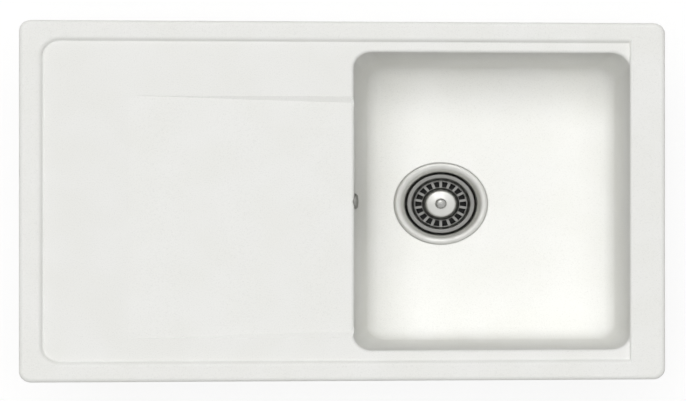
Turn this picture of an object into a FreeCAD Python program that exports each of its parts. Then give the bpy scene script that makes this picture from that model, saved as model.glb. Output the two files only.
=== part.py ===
import FreeCAD, Part
import math
import os
import Sketcher

# Driving dimensions in millimetres, angles in degrees. Worktop level is Z = 0, right is +X, back is +Y.
SIZES = {
    # rim and deck
    "sink_length": 780,
    "sink_width": 500,
    "sink_corner_radius": 15,
    "rim_underside": 1.5,
    "rim_top": 10.5,
    "rim_edge_share": 0.667,
    "rim_foot_share": 0.167,
    "slab_inset": 14,
    "slab_underside": -6.5,
    "slab_corner_radius": 8,
    # recessed working area inside the rim
    "recess_level": 5.5,
    "recess_margin": 24.6,
    "recess_step_run": 3.6,
    "recess_corner_radius": 25,
    "recess_end_gap": 8.8,
    "recess_end_radius": 9,
    "recess_crest_share": 0.582,
    "recess_foot_share": 0.283,
    # draining board
    "drainer_start_margin": 130,
    "drainer_back_margin": 104,
    "drainer_front_margin": 60,
    "drainer_fall": 4,
    "drainer_side_angle": 24,
    "drainer_overrun": 3,
    # bowl, with its plan given at rim level
    "bowl_end_margin": 43,
    "bowl_length": 337,
    "bowl_ledge": 9.6,
    "bowl_corner_radius": 22,
    "bowl_floor_level": -189.5,
    "bowl_lean": 5,
    "bowl_edge_radius": 4.5,
    "bowl_floor_radius": 18,
    "wall_thickness": 9,
    "lip_root_margin": 18,
    "lip_foot_level": -4,
    # how far cuts run past what they cut
    "overrun": 2,
    # waste hole
    "drain_wall_distance": 107,
    "flange_radius": 57.5,
    "drain_hole_clearance": 3,
    "flange_edge_gap": 1,
    "flange_seat_depth": 2.5,
    # overflow boss behind the left wall
    "rose_seat_drop": 0.8,
    "overflow_seat_inset": 1.5,
    "rose_edge_gap": 0.6,
    "rose_neck_clearance": 0.3,
    "overflow_duct_distance": 28,
    "overflow_duct_radius": 11,
    "overflow_duct_top": -4.5,
    "overflow_boss_bite": 1,
    "overflow_boss_half_width": 17,
    "overflow_boss_depth": 34,
    "overflow_boss_radius": 6,
    # stiffening ribs under the draining board
    "rib_thickness": 7,
    "rib_depth": 12,
    "rib_end_margin": 50,
    "rib_bowl_gap": 60,
    "rib_side_margin": 140,
    "cross_rib_side_margin": 90,
    "cross_rib_count": 3,
    # tap hole knock-outs under the tap ledge
    "knockout_radius": 17.5,
    "knockout_depth": 8,
    "knockout_margin": 67,
    "knockout_bowl_gap": 75,
    "knockout_spacing": 70,
    "knockout_count": 2,
    # rim seal
    "seal_outer_inset": 1,
    "seal_inner_inset": 9,
    # clips, measured from each stud where it meets the slab
    "clip_inset": 24,
    "clip_left_margin": 160,
    "clip_right_margin": 210,
    "clip_plate_length": 42,
    "clip_plate_width": 16,
    "clip_plate_thickness": 2,
    "clip_corner_radius": 3,
    "clip_screw_offset": 14,
    "stud_radius": 3,
    "stud_length": 64,
    "stud_clearance": 0.4,
    "screw_radius": 2,
    "screw_hole_clearance": 0.2,
    "screw_head_radius": 3.8,
    "screw_head_height": 2.4,
    "screw_length": 5,
    "screw_thread_clearance": 0.1,
    "insert_outer_radius": 3.2,
    "insert_length": 6,
    "insert_clearance": 0.05,
    "claw_top": -44,
    "claw_thickness": 2,
    "claw_back_reach": 8,
    "claw_reach": 37,
    "claw_width": 14,
    "claw_tip_height": 6,
    "claw_bend_radius": 3,
    "nut_gap": 0.3,
    "nut_height": 10,
    "nut_hub_radius": 6.5,
    "nut_collar_height": 2,
    "wing_reach": 12,
    "wing_thickness": 3,
    "wing_end_radius": 1.3,
    "wing_height": 7,
    # strainer flange and cup, with heights from the bowl floor
    "flange_gasket_thickness": 1.2,
    "flange_edge_height": -0.2,
    "flange_crown_round": 9.4,
    "flange_inner_radius": 47.5,
    "flange_inner_height": -0.9,
    "throat_round": 6,
    "throat_radius": 44,
    "throat_level": -5,
    "throat_foot_level": -11,
    "steel_thickness": 1,
    "cup_taper_radius": 38.5,
    "cup_taper_rise": 4,
    "cup_floor_radius": 34.5,
    "cup_floor_level": -38,
    "cup_outer_slope_gap": 1.1,
    "bolt_hole_clearance": 0.2,
    "cup_slot_radius": 4,
    "cup_slot_circle": 17,
    "cup_slot_count": 8,
    "gasket_inner_gap": 1,
    "gasket_outer_inset": 0.5,
    # basket
    "basket_rim_gap": 2.5,
    "basket_rim_sink": 0.5,
    "basket_rim_drop": 2.6,
    "basket_rim_inner_radius": 36.5,
    "basket_wall_top_radius": 35,
    "basket_wall_top_drop": 1.5,
    "basket_wall_foot_radius": 34,
    "channel_corner_rise": 2,
    "channel_outer_radius": 32.4,
    "channel_inner_radius": 22.8,
    "basket_plug_gap": 7,
    "dome_foot_radius": 21.4,
    "dome_shoulder_radius": 19.8,
    "dome_shoulder_drop": 3.4,
    "dome_crown_radius": 16.5,
    "dome_crown_drop": 1.2,
    "dome_land_radius": 8.5,
    "dome_top_drop": 0.1,
    "pan_thickness": 0.9,
    "pan_slope_gap": 0.95,
    "pan_hole_clearance": 0.2,
    "basket_slot_inner_gap": 0.6,
    "basket_slot_outer_gap": 0.6,
    "basket_slot_inner_width": 5,
    "basket_slot_outer_width": 7.6,
    "basket_slot_count": 18,
    "knob_radius": 7.2,
    "knob_waist_radius": 4.6,
    "knob_waist_height": 3.2,
    "knob_flare_height": 1.8,
    "knob_crown_height": 2.2,
    "sleeve_radius": 6,
    "stem_radius": 3.8,
    "stem_guide_length": 8,
    "stem_tip_radius": 2.8,
    "stem_tip_height": 1.5,
    "groove_depth": 0.6,
    "plug_hole_clearance": 0.1,
    "plug_thickness": 3,
    "plug_lift": 5,
    "plug_shoulder_radius": 25,
    "plug_radius": 31,
    "plug_shoulder_drop": 1.5,
    "plug_lip_gap": 0.3,
    "plug_lip_inner_radius": 27.5,
    "plug_lip_root_radius": 26.5,
    "washer_radius": 8.5,
    "washer_thickness": 1,
    "clip_ring_radius": 5.4,
    "clip_ring_clearance": 0.1,
    "clip_ring_thickness": 0.8,
    # centre bolt and its nut
    "bolt_head_radius": 9,
    "bolt_head_height": 2,
    "stem_clearance": 0.3,
    "stem_end_gap": 4,
    "bolt_radius": 6,
    "bolt_end_length": 4,
    "bolt_chamfer": 1,
    "bolt_nut_radius": 9,
    "bolt_nut_height": 8,
    "bolt_thread_clearance": 0.1,
    "bolt_nut_clearance": 0.2,
    # waste body
    "under_gasket_thickness": 3,
    "body_flange_radius": 58,
    "body_flange_thickness": 4,
    "chamber_radius": 47,
    "chamber_wall": 3.5,
    "chamber_foot_drop": 6,
    "outlet_bore_radius": 19.5,
    "outlet_radius": 23.9,
    "funnel_height": 16,
    "funnel_outer_drop": 3,
    "outlet_length": 28,
    "spider_boss_radius": 12.5,
    "spider_boss_drop": 9,
    "spider_arm_root": 10,
    "spider_arm_reach": 45,
    "spider_arm_foot_reach": 22,
    "spider_arm_foot_rise": 1,
    "spider_arm_thickness": 4,
    "spider_boss_height": 15,
    "spider_arm_count": 3,
    "gusset_height": 14,
    "gusset_thickness": 3,
    "gusset_bite": 1,
    "gusset_edge_gap": 1,
    "gusset_count": 8,
    "spigot_level": -30,
    "spigot_radius": 16,
    "pipe_socket_clearance": 0.4,
    "spigot_port_radius": 10.5,
    "spigot_root_x": -47.5,
    "spigot_stop_x": -58,
    "spigot_end_x": -80,
    "spigot_port_start_x": -40,
    # overflow fittings
    "rose_seal_thickness": 1,
    "rose_seal_inset": 0.5,
    "rose_radius": 11,
    "rose_edge_height": 4.6,
    "rose_crown_radius": 8.6,
    "rose_crown_height": 7.2,
    "rose_top_height": 8,
    "rose_plate_thickness": 1.2,
    "rose_neck_radius": 7.7,
    "rose_neck_wall": 1,
    "rose_neck_depth": 10,
    "rose_dot_radius": 1.3,
    "rose_dot_circle": 4.2,
    "rose_dot_count": 6,
    "tail_seal_thickness": 1.5,
    "tail_plug_clearance": 0.15,
    "tail_plug_height": 14,
    "tail_flange_radius": 16.5,
    "tail_flange_thickness": 4,
    "tail_bore_radius": 9,
    "tail_socket_depth": 11,
    "tail_thread_length": 17,
    "pipe_radius": 12.5,
    "pipe_wall": 1.6,
    "pipe_bend_radius": 32,
    "pipe_end_gap": 1,
    "compression_nut_radius": 19.5,
    "compression_nut_reach": 14,
    "compression_nut_floor": 2.5,
    "compression_thread_clearance": 0.1,
    "compression_seal_thickness": 1.5,
    "compression_seal_clearance": 0.15,
    "grip_flute_radius": 1.5,
    "grip_flute_count": 12,
}


class Size:
    """A size with its number and the sheet formula that gives it."""

    def __init__(self, number, formula):
        self.number = number
        self.formula = formula

    def __add__(self, other):
        other = as_size(other)
        return Size(self.number + other.number, f"({self.formula} + {other.formula})")

    def __sub__(self, other):
        other = as_size(other)
        return Size(self.number - other.number, f"({self.formula} - {other.formula})")

    def __mul__(self, other):
        other = as_size(other)
        return Size(self.number * other.number, f"({self.formula} * {other.formula})")

    def __truediv__(self, other):
        other = as_size(other)
        return Size(self.number / other.number, f"({self.formula} / {other.formula})")

    def __neg__(self):
        return Size(-self.number, f"(-1 * {self.formula})")

    def __float__(self):
        return float(self.number)


def as_size(value):
    return value if isinstance(value, Size) else Size(float(value), str(value))


def sine(angle):
    angle = as_size(angle)
    return Size(math.sin(math.radians(angle.number)), f"sin({angle.formula} * 1 deg)")


def cosine(angle):
    angle = as_size(angle)
    return Size(math.cos(math.radians(angle.number)), f"cos({angle.formula} * 1 deg)")


def tangent(angle):
    angle = as_size(angle)
    return Size(math.tan(math.radians(angle.number)), f"tan({angle.formula} * 1 deg)")


def square_root(value):
    return Size(math.sqrt(value.number), f"sqrt({value.formula})")


class Sheet:
    """The spreadsheet of driving dimensions, each of them read as an attribute."""

    def __init__(self, doc, sizes):
        self.page = doc.addObject("Spreadsheet::Sheet", "sizes")
        for row, (alias, number) in enumerate(sizes.items(), start=1):
            self.page.set(f"A{row}", alias)
            self.page.set(f"B{row}", str(number))
            self.page.setAlias(f"B{row}", alias)
        doc.recompute()

    def __getattr__(self, alias):
        return Size(float(self.page.get(alias)), f"sizes.{alias}")


doc = FreeCAD.newDocument("granite_sink")
S = Sheet(doc, SIZES)
CLOSE = 0.01
QUARTER_TURN = 90


def add_body(label):
    body = doc.addObject("PartDesign::Body", label)
    body.Label = label
    return body


def place_body(body, across=0, back=0, up=0, turn=0, axis=(0, 0, 1)):
    """Puts a body's origin at a point, turned about an axis."""
    spot = [as_size(value) for value in (across, back, up)]
    turn = as_size(turn)
    body.Placement = FreeCAD.Placement(
        FreeCAD.Vector(*[value.number for value in spot]),
        FreeCAD.Rotation(FreeCAD.Vector(*axis), turn.number),
    )
    for name, value in zip("xyz", spot):
        body.setExpression(f"Placement.Base.{name}", value.formula)
    return body


def origin_feature(body, role):
    return next(item for item in body.Origin.OriginFeatures if item.Role == role)


def add_sketch(body, name, plane="XY_Plane", offset=0):
    """A sketch on one of the body's own origin planes, moved off it along its normal."""
    sketch = body.newObject("Sketcher::SketchObject", name)
    sketch.AttachmentSupport = (origin_feature(body, plane), [""])
    sketch.MapMode = "FlatFace"
    offset = as_size(offset)
    sketch.AttachmentOffset = FreeCAD.Placement(
        FreeCAD.Vector(0, 0, offset.number), FreeCAD.Rotation()
    )
    sketch.setExpression("AttachmentOffset.Base.z", offset.formula)
    sketch.Visibility = False
    return sketch


def pin_point(sketch, geometry, end, place):
    """Holds one point of a line or arc at (across, up) from the sketch's origin."""
    for kind, axis, value in (("DistanceX", -2, place[0]), ("DistanceY", -1, place[1])):
        if isinstance(value, Size):
            number = sketch.addConstraint(
                Sketcher.Constraint(kind, -1, 1, geometry, end, value.number)
            )
            sketch.setExpression(f"Constraints[{number}]", value.formula)
        else:
            sketch.addConstraint(Sketcher.Constraint("PointOnObject", geometry, end, axis))


def hold_radius(sketch, geometry, radius):
    number = sketch.addConstraint(Sketcher.Constraint("Radius", geometry, radius.number))
    sketch.setExpression(f"Constraints[{number}]", radius.formula)


def arc_between(start, end, radius, side):
    """An arc from start to end. Its centre lies on the left when side is 1, on the right when it is -1."""
    chord = end - start
    rise = math.sqrt(max(radius**2 - (chord.Length / 2) ** 2, 0))
    normal = FreeCAD.Vector(-chord.y, chord.x, 0).normalize() * side
    centre = (start + end) / 2 + normal * rise
    return Part.Arc(start, centre - normal * radius, end)


def end_at(sketch, geometry, place):
    """Which end of a line or arc, 1 or 2, lies at a place."""
    gaps = [(sketch.getPoint(geometry, end) - place).Length for end in (1, 2)]
    return 1 if gaps[0] <= gaps[1] else 2


def draw_outline(sketch, points):
    """A closed outline. A point is (across, up), or (across, up, radius, side) when an arc leads to it."""
    spots = [FreeCAD.Vector(float(point[0]), float(point[1]), 0) for point in points]
    first = sketch.GeometryCount
    for index, point in enumerate(points):
        start, end = spots[index - 1], spots[index]
        if len(point) == 2:
            sketch.addGeometry(Part.LineSegment(start, end))
        else:
            sketch.addGeometry(arc_between(start, end, float(point[2]), point[3]))
    for index, point in enumerate(points):
        here = first + index
        following = first + (index + 1) % len(points)
        end = end_at(sketch, here, spots[index])
        start = end_at(sketch, following, spots[index])
        sketch.addConstraint(Sketcher.Constraint("Coincident", here, end, following, start))
        pin_point(sketch, here, end, point)
        if len(point) > 2:
            hold_radius(sketch, here, point[2])


def draw_path(sketch, points):
    """An open path through points, given like the points of an outline."""
    spots = [FreeCAD.Vector(float(point[0]), float(point[1]), 0) for point in points]
    for index in range(1, len(points)):
        start, end, point = spots[index - 1], spots[index], points[index]
        if len(point) == 2:
            sketch.addGeometry(Part.LineSegment(start, end))
        else:
            sketch.addGeometry(arc_between(start, end, float(point[2]), point[3]))
        here = index - 1
        if here:
            sketch.addConstraint(
                Sketcher.Constraint(
                    "Coincident",
                    here - 1, end_at(sketch, here - 1, start), here, end_at(sketch, here, start),
                )
            )
        else:
            pin_point(sketch, here, end_at(sketch, here, start), points[0])
        pin_point(sketch, here, end_at(sketch, here, end), point)
        if len(point) > 2:
            hold_radius(sketch, here, point[2])


def draw_rounded_rectangle(sketch, west, east, south, north, west_radius, east_radius=None):
    east_radius = east_radius or west_radius
    draw_outline(
        sketch,
        [
            (east - east_radius, south),
            (east, south + east_radius, east_radius, 1),
            (east, north - east_radius),
            (east - east_radius, north, east_radius, 1),
            (west + west_radius, north),
            (west, north - west_radius, west_radius, 1),
            (west, south + west_radius),
            (west + west_radius, south, west_radius, 1),
        ],
    )


def draw_rectangle(sketch, west, east, south, north):
    draw_outline(sketch, [(east, south), (east, north), (west, north), (west, south)])


def draw_circle(sketch, across, up, radius):
    centre = FreeCAD.Vector(float(across), float(up), 0)
    circle = sketch.addGeometry(Part.Circle(centre, FreeCAD.Vector(0, 0, 1), radius.number))
    hold_radius(sketch, circle, radius)
    pin_point(sketch, circle, 3, (across, up))


def draw_hexagon(sketch, radius):
    half, tall = radius / 2, radius * sine(60)
    draw_outline(
        sketch, [(half, tall), (-half, tall), (-radius, 0), (-half, -tall), (half, -tall), (radius, 0)]
    )


def add_feature(body, kind, name, sketch, **settings):
    """A PartDesign feature made from a sketch, with every Size among its settings bound to the sheet."""
    feature = body.newObject(f"PartDesign::{kind}", name)
    feature.Profile = (sketch, [""])
    settle(feature, settings)
    return feature


def settle(feature, settings):
    for name, value in settings.items():
        if isinstance(value, Size):
            setattr(feature, name, value.number)
            feature.setExpression(name, value.formula)
        else:
            setattr(feature, name, value)


def round_edges(body, name, radius, chosen):
    """Rounds those edges of the body's newest shape that the test picks."""
    doc.recompute()
    base = body.Tip
    edges = [
        f"Edge{number}" for number, edge in enumerate(base.Shape.Edges, start=1) if chosen(edge.BoundBox)
    ]
    fillet = body.newObject("PartDesign::Fillet", name)
    fillet.Base = (base, edges)
    settle(fillet, {"Radius": radius})
    return fillet


def repeat_round(body, feature, count):
    """Repeats a feature evenly round the body's Z axis."""
    pattern = body.newObject("PartDesign::PolarPattern", f"{feature.Name}_ring")
    pattern.Originals = [feature]
    pattern.Axis = (origin_feature(body, "Z_Axis"), [""])
    pattern.Angle = 360
    pattern.Occurrences = round(count.number)
    pattern.setExpression("Occurrences", count.formula)
    body.Tip = pattern
    return pattern


def level(box, height):
    """Whether a bounding box is flat and lies at that height."""
    return abs(box.ZMin - float(height)) < CLOSE and abs(box.ZMax - float(height)) < CLOSE


def make_turned(label, points):
    """A body turned about its Z axis from an outline of (radius, height) points."""
    body = add_body(label)
    profile = add_sketch(body, f"{label}_profile", "XZ_Plane")
    draw_outline(profile, points)
    turn = add_feature(body, "Revolution", f"{label}_turned", profile, Angle=360)
    turn.ReferenceAxis = (profile, ["V_Axis"])
    return body


def make_ring(label, inner_radius, outer_radius, foot, top):
    return make_turned(
        label, [(outer_radius, foot), (outer_radius, top), (inner_radius, top), (inner_radius, foot)]
    )


half_length = S.sink_length / 2
half_width = S.sink_width / 2
lean = tangent(S.bowl_lean)
lip_reach = S.bowl_edge_radius * tangent((as_size(QUARTER_TURN) - S.bowl_lean) / 2)

# The rim, and the step down to the recess: each rounding takes its share of the wall that it lies on.
rim_height = S.rim_top - S.rim_underside
rim_edge_radius = rim_height * S.rim_edge_share
rim_foot_radius = rim_height * S.rim_foot_share
step_height = S.rim_top - S.recess_level
step_slope = square_root(S.recess_step_run * S.recess_step_run + step_height * step_height)
step_fullness = step_slope * step_height / (step_slope - S.recess_step_run)
recess_crest_radius = step_fullness * S.recess_crest_share
recess_foot_radius = step_fullness * S.recess_foot_share
recess_west = S.recess_margin - half_length
recess_side = half_width - S.recess_margin

# The bowl, held off the recess's step and the sink's end, and what keeps its place beside it.
wall_east = half_length - S.bowl_end_margin
wall_west = wall_east - S.bowl_length
bowl_half_width = recess_side - S.recess_step_run - lip_reach - S.bowl_ledge
recess_east = wall_east + lip_reach + S.recess_end_gap
lip_root = half_length - S.lip_root_margin
drainer_start = S.drainer_start_margin - half_length
drainer_back = half_width - S.drainer_back_margin
drainer_front = S.drainer_front_margin - half_width
rib_start_x = S.rib_end_margin - half_length
rib_end_x = wall_west - S.rib_bowl_gap
cross_rib_spacing = (rib_end_x - rib_start_x) / S.cross_rib_count
knockout_y = half_width - S.knockout_margin
clip_left_x = S.clip_left_margin - half_length
clip_right_x = half_length - S.clip_right_margin
clip_line_x = half_length - S.clip_inset
clip_line_y = half_width - S.clip_inset
stud_hole_radius = S.stud_radius + S.stud_clearance
screw_hole_radius = S.screw_radius + S.screw_hole_clearance
insert_inner_radius = S.screw_radius + S.screw_thread_clearance

# The drain, with heights from the bowl's floor: cup, plug, basket, knob and stem, then what hangs below.
drain_x = wall_west + S.drain_wall_distance
flange_seat_radius = S.flange_radius + S.flange_edge_gap
flange_underside = S.flange_gasket_thickness - S.flange_seat_depth
drain_hole_radius = S.throat_radius + S.steel_thickness + S.drain_hole_clearance
gasket_inner_radius = drain_hole_radius + S.gasket_inner_gap
gasket_outer_radius = S.flange_radius - S.gasket_outer_inset
cup_taper_level = S.cup_floor_level + S.cup_taper_rise
plug_lip_level = S.cup_floor_level + S.plug_lip_gap
plug_underside = S.cup_floor_level + S.plug_lift
plug_top_level = plug_underside + S.plug_thickness
plug_rim_level = plug_top_level - S.plug_shoulder_drop
plug_hole_radius = S.stem_radius + S.plug_hole_clearance
washer_foot = plug_underside - S.washer_thickness
basket_rim_radius = S.throat_radius - S.basket_rim_gap
basket_rim_level = S.throat_level - S.basket_rim_sink
basket_wall_top_level = basket_rim_level - S.basket_wall_top_drop
channel_level = plug_top_level + S.basket_plug_gap
basket_wall_foot_level = channel_level + S.channel_corner_rise
dome_top_level = basket_rim_level - S.dome_top_drop
dome_crown_level = dome_top_level - S.dome_crown_drop
dome_shoulder_level = dome_top_level - S.dome_shoulder_drop
pan_hole_radius = S.stem_radius + S.pan_hole_clearance
knob_underside = dome_top_level + S.knob_waist_height
knob_side_level = knob_underside + S.knob_flare_height
knob_top_level = knob_side_level + S.knob_crown_height
knob_crown_round = (S.knob_radius * S.knob_radius / S.knob_crown_height + S.knob_crown_height) / 2
groove_radius = S.stem_radius - S.groove_depth
clip_ring_inner_radius = groove_radius + S.clip_ring_clearance
stem_foot_level = S.cup_floor_level - S.stem_guide_length
bolt_bore_radius = S.stem_radius + S.stem_clearance
bolt_bore_foot = stem_foot_level - S.stem_end_gap
bolt_hole_radius = S.bolt_radius + S.bolt_hole_clearance
bolt_nut_hole_radius = S.bolt_radius + S.bolt_thread_clearance
spider_boss_top = S.cup_floor_level - S.spider_boss_drop
spider_foot_level = spider_boss_top - S.spider_boss_height
spider_arm_foot = spider_foot_level + S.spider_arm_foot_rise
bolt_foot_level = spider_foot_level - S.bolt_end_length
bolt_nut_top = spider_foot_level + S.bolt_nut_height
chamber_foot_level = S.cup_floor_level - S.chamber_foot_drop
funnel_foot_level = chamber_foot_level - S.funnel_height
outlet_level = funnel_foot_level - S.outlet_length

# The overflow, from the rose in the bowl's wall to the pipe under the bowl.
overflow_seat_x = wall_west - S.overflow_seat_inset
overflow_seat_radius = S.rose_radius + S.rose_edge_gap
overflow_level = S.recess_level - lip_reach * cosine(S.bowl_lean) - overflow_seat_radius - S.rose_seat_drop
overflow_hole_radius = S.rose_neck_radius + S.rose_neck_clearance
rose_neck_inner_radius = S.rose_neck_radius - S.rose_neck_wall
overflow_duct_x = wall_west - S.overflow_duct_distance
overflow_boss_west = overflow_duct_x - S.overflow_boss_half_width
overflow_boss_east = wall_west - S.overflow_boss_bite
boss_foot = S.slab_underside - S.overflow_boss_depth
tail_plug_radius = S.overflow_duct_radius - S.tail_plug_clearance
spigot_bore_radius = S.pipe_radius + S.pipe_socket_clearance
tail_flange_top = boss_foot - S.tail_seal_thickness
tail_flange_foot = tail_flange_top - S.tail_flange_thickness
tail_foot = tail_flange_foot - S.tail_thread_length
pipe_level = S.bowl_floor_level + S.spigot_level

# Each clip's stud, with the quarter turns that bring its outer side from the front to where it stands.
CLIPS = [
    (clip_left_x, -clip_line_y, 0),
    (clip_right_x, -clip_line_y, 0),
    (clip_line_x, 0, 1),
    (clip_right_x, clip_line_y, 2),
    (clip_left_x, clip_line_y, 2),
    (-clip_line_x, 0, 3),
]


def clip_screw_spots():
    """Where the two screws of each clip stand."""
    spots = []
    for across, back, turns in CLIPS:
        for side in (-1, 1):
            shift = S.clip_screw_offset * side
            if turns % 2:
                spots.append((across, shift))
            else:
                spots.append((across + shift, back))
    return spots


def draw_bowl_plan(sketch, height, growth, corner):
    """The bowl's plan at one height, grown outwards all round."""
    shrink = (S.rim_top - height) * lean - growth
    draw_rounded_rectangle(
        sketch,
        wall_west + shrink,
        wall_east - shrink,
        shrink - bowl_half_width,
        bowl_half_width - shrink,
        corner,
    )


def add_deck(body):
    """The flat deck up to the recess level, with the slab that drops through the worktop."""
    plan = add_sketch(body, "deck_plan", offset=S.rim_underside)
    draw_rounded_rectangle(
        plan, -half_length, half_length, -half_width, half_width, S.sink_corner_radius
    )
    add_feature(body, "Pad", "deck", plan, Length=S.recess_level - S.rim_underside)
    slab_end, slab_side = half_length - S.slab_inset, half_width - S.slab_inset
    slab = add_sketch(body, "slab_plan", offset=S.slab_underside)
    draw_rounded_rectangle(slab, -slab_end, slab_end, -slab_side, slab_side, S.slab_corner_radius)
    add_feature(body, "Pad", "slab", slab, Length=S.recess_level - S.slab_underside)


def add_bowl(body):
    """The bowl's shell and its hollow, with rounded floor and rounded opening."""
    floor_underside = S.bowl_floor_level - S.wall_thickness
    corner = S.bowl_corner_radius + S.wall_thickness
    shell_top = add_sketch(body, "shell_top", offset=S.slab_underside)
    draw_bowl_plan(shell_top, S.slab_underside, S.wall_thickness, corner)
    shell_foot = add_sketch(body, "shell_foot", offset=floor_underside)
    draw_bowl_plan(shell_foot, floor_underside, S.wall_thickness, corner)
    add_feature(body, "AdditiveLoft", "shell", shell_top, Sections=[shell_foot], Ruled=True)
    foot_radius = S.bowl_floor_radius + S.wall_thickness
    round_edges(body, "shell_foot_round", foot_radius, lambda box: level(box, floor_underside))
    hollow_top = add_sketch(body, "hollow_top", offset=S.recess_level)
    draw_bowl_plan(hollow_top, S.recess_level, as_size(0), S.bowl_corner_radius)
    hollow_foot = add_sketch(body, "hollow_foot", offset=S.bowl_floor_level)
    draw_bowl_plan(hollow_foot, S.bowl_floor_level, as_size(0), S.bowl_corner_radius)
    add_feature(body, "SubtractiveLoft", "hollow", hollow_top, Sections=[hollow_foot], Ruled=True)
    round_edges(
        body, "hollow_floor_round", S.bowl_floor_radius, lambda box: level(box, S.bowl_floor_level)
    )
    round_edges(body, "opening_round", S.bowl_edge_radius, lies_on_opening)


def lies_round_bowl(box):
    """Whether an edge lies within the reach of the bowl's rounded opening."""
    margin = S.bowl_edge_radius
    side = float(bowl_half_width + margin)
    across = box.XMin > float(wall_west - margin) and box.XMax < float(wall_east + margin)
    return across and max(-box.YMin, box.YMax) < side


def lies_on_opening(box):
    return level(box, S.recess_level) and lies_round_bowl(box)


def add_rim(body):
    """The raised rim with a sloping step inside it, and the plain lip at the bowl's end."""
    west, east, side, run = recess_west, recess_east, recess_side, S.recess_step_run
    foot = add_sketch(body, "rim_foot_plan", offset=S.recess_level)
    draw_rounded_rectangle(
        foot, -half_length, half_length, -half_width, half_width, S.sink_corner_radius
    )
    draw_rounded_rectangle(
        foot, west + run, east - run, run - side, side - run,
        S.recess_corner_radius - run, S.recess_end_radius - run,
    )
    top = add_sketch(body, "rim_top_plan", offset=S.rim_top)
    draw_rounded_rectangle(
        top, -half_length, half_length, -half_width, half_width, S.sink_corner_radius
    )
    draw_rounded_rectangle(top, west, east, -side, side, S.recess_corner_radius, S.recess_end_radius)
    add_feature(body, "AdditiveLoft", "rim", foot, Sections=[top], Ruled=True)
    round_edges(body, "step_crest_round", recess_crest_radius, lies_on_recess(S.rim_top))
    round_edges(body, "step_foot_round", recess_foot_radius, lies_on_recess(S.recess_level))
    add_lip(body)


def lies_on_recess(height):
    """A test for the edges of the recess at one height."""
    reach_x = float(half_length - S.slab_inset)
    reach_y = float(half_width - S.slab_inset)

    def chosen(box):
        within = max(-box.XMin, box.XMax) < reach_x and max(-box.YMin, box.YMax) < reach_y
        return level(box, height) and within and not lies_round_bowl(box)

    return chosen


def add_lip(body):
    """The bowl's end wall carried up to the rim, rounded over at the top."""
    profile = add_sketch(body, "lip_profile", "XZ_Plane")
    foot_shift = (S.rim_top - S.lip_foot_level) * lean
    draw_outline(
        profile,
        [
            (lip_root, S.lip_foot_level),
            (lip_root, S.rim_top),
            (wall_east + lip_reach, S.rim_top),
            (
                wall_east - lip_reach * sine(S.bowl_lean),
                S.rim_top - lip_reach * cosine(S.bowl_lean),
                S.bowl_edge_radius,
                1,
            ),
            (wall_east - foot_shift, S.lip_foot_level),
        ],
    )
    reach = (recess_side + recess_crest_radius) * 2
    add_feature(body, "Pad", "lip", profile, Length=reach, SideType="Symmetric")


def lies_on_outside(height):
    """A test for the edges of the sink's outline at one height."""
    reach_x = float(half_length - S.sink_corner_radius) - CLOSE
    reach_y = float(half_width - S.sink_corner_radius) - CLOSE

    def chosen(box):
        beyond_x = max(-box.XMin, box.XMax) > reach_x and min(abs(box.XMin), abs(box.XMax)) > reach_x
        beyond_y = max(-box.YMin, box.YMax) > reach_y and min(abs(box.YMin), abs(box.YMax)) > reach_y
        return level(box, height) and (beyond_x or beyond_y)

    return chosen


def add_drain_hole(body):
    """The hole in the bowl's floor with the shallow seat for the strainer's flange."""
    seat = add_sketch(body, "flange_seat_plan", offset=S.bowl_floor_level)
    draw_circle(seat, drain_x, 0, flange_seat_radius)
    add_feature(body, "Pocket", "flange_seat", seat, Length=S.flange_seat_depth)
    hole = add_sketch(body, "drain_hole_plan", offset=S.bowl_floor_level)
    draw_circle(hole, drain_x, 0, drain_hole_radius)
    add_feature(body, "Pocket", "drain_hole", hole, Length=S.wall_thickness + S.overrun)


def add_overflow_boss(body):
    """The boss behind the bowl's wall, with the seat for the rose and the duct that leads down."""
    boss = add_sketch(body, "overflow_boss_plan", offset=S.slab_underside)
    draw_rounded_rectangle(
        boss,
        overflow_boss_west,
        overflow_boss_east,
        -S.overflow_boss_half_width,
        S.overflow_boss_half_width,
        S.overflow_boss_radius,
    )
    add_feature(body, "Pad", "overflow_boss", boss, Length=S.overflow_boss_depth, Reversed=True)
    duct = add_sketch(body, "overflow_duct_plan", offset=boss_foot)
    draw_circle(duct, overflow_duct_x, 0, S.overflow_duct_radius)
    duct_height = S.overflow_duct_top - boss_foot
    add_feature(body, "Pocket", "overflow_duct", duct, Length=duct_height, Reversed=True)
    seat = add_sketch(body, "overflow_seat_plan", "YZ_Plane", overflow_seat_x)
    draw_circle(seat, 0, overflow_level, overflow_seat_radius)
    seat_depth = overflow_seat_radius + S.overrun
    add_feature(body, "Pocket", "overflow_seat", seat, Length=seat_depth, Reversed=True)
    hole = add_sketch(body, "overflow_hole_plan", "YZ_Plane", overflow_seat_x + S.overrun)
    draw_circle(hole, 0, overflow_level, overflow_hole_radius)
    hole_length = overflow_seat_x + S.overrun - overflow_duct_x
    add_feature(body, "Pocket", "overflow_hole", hole, Length=hole_length)


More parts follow.
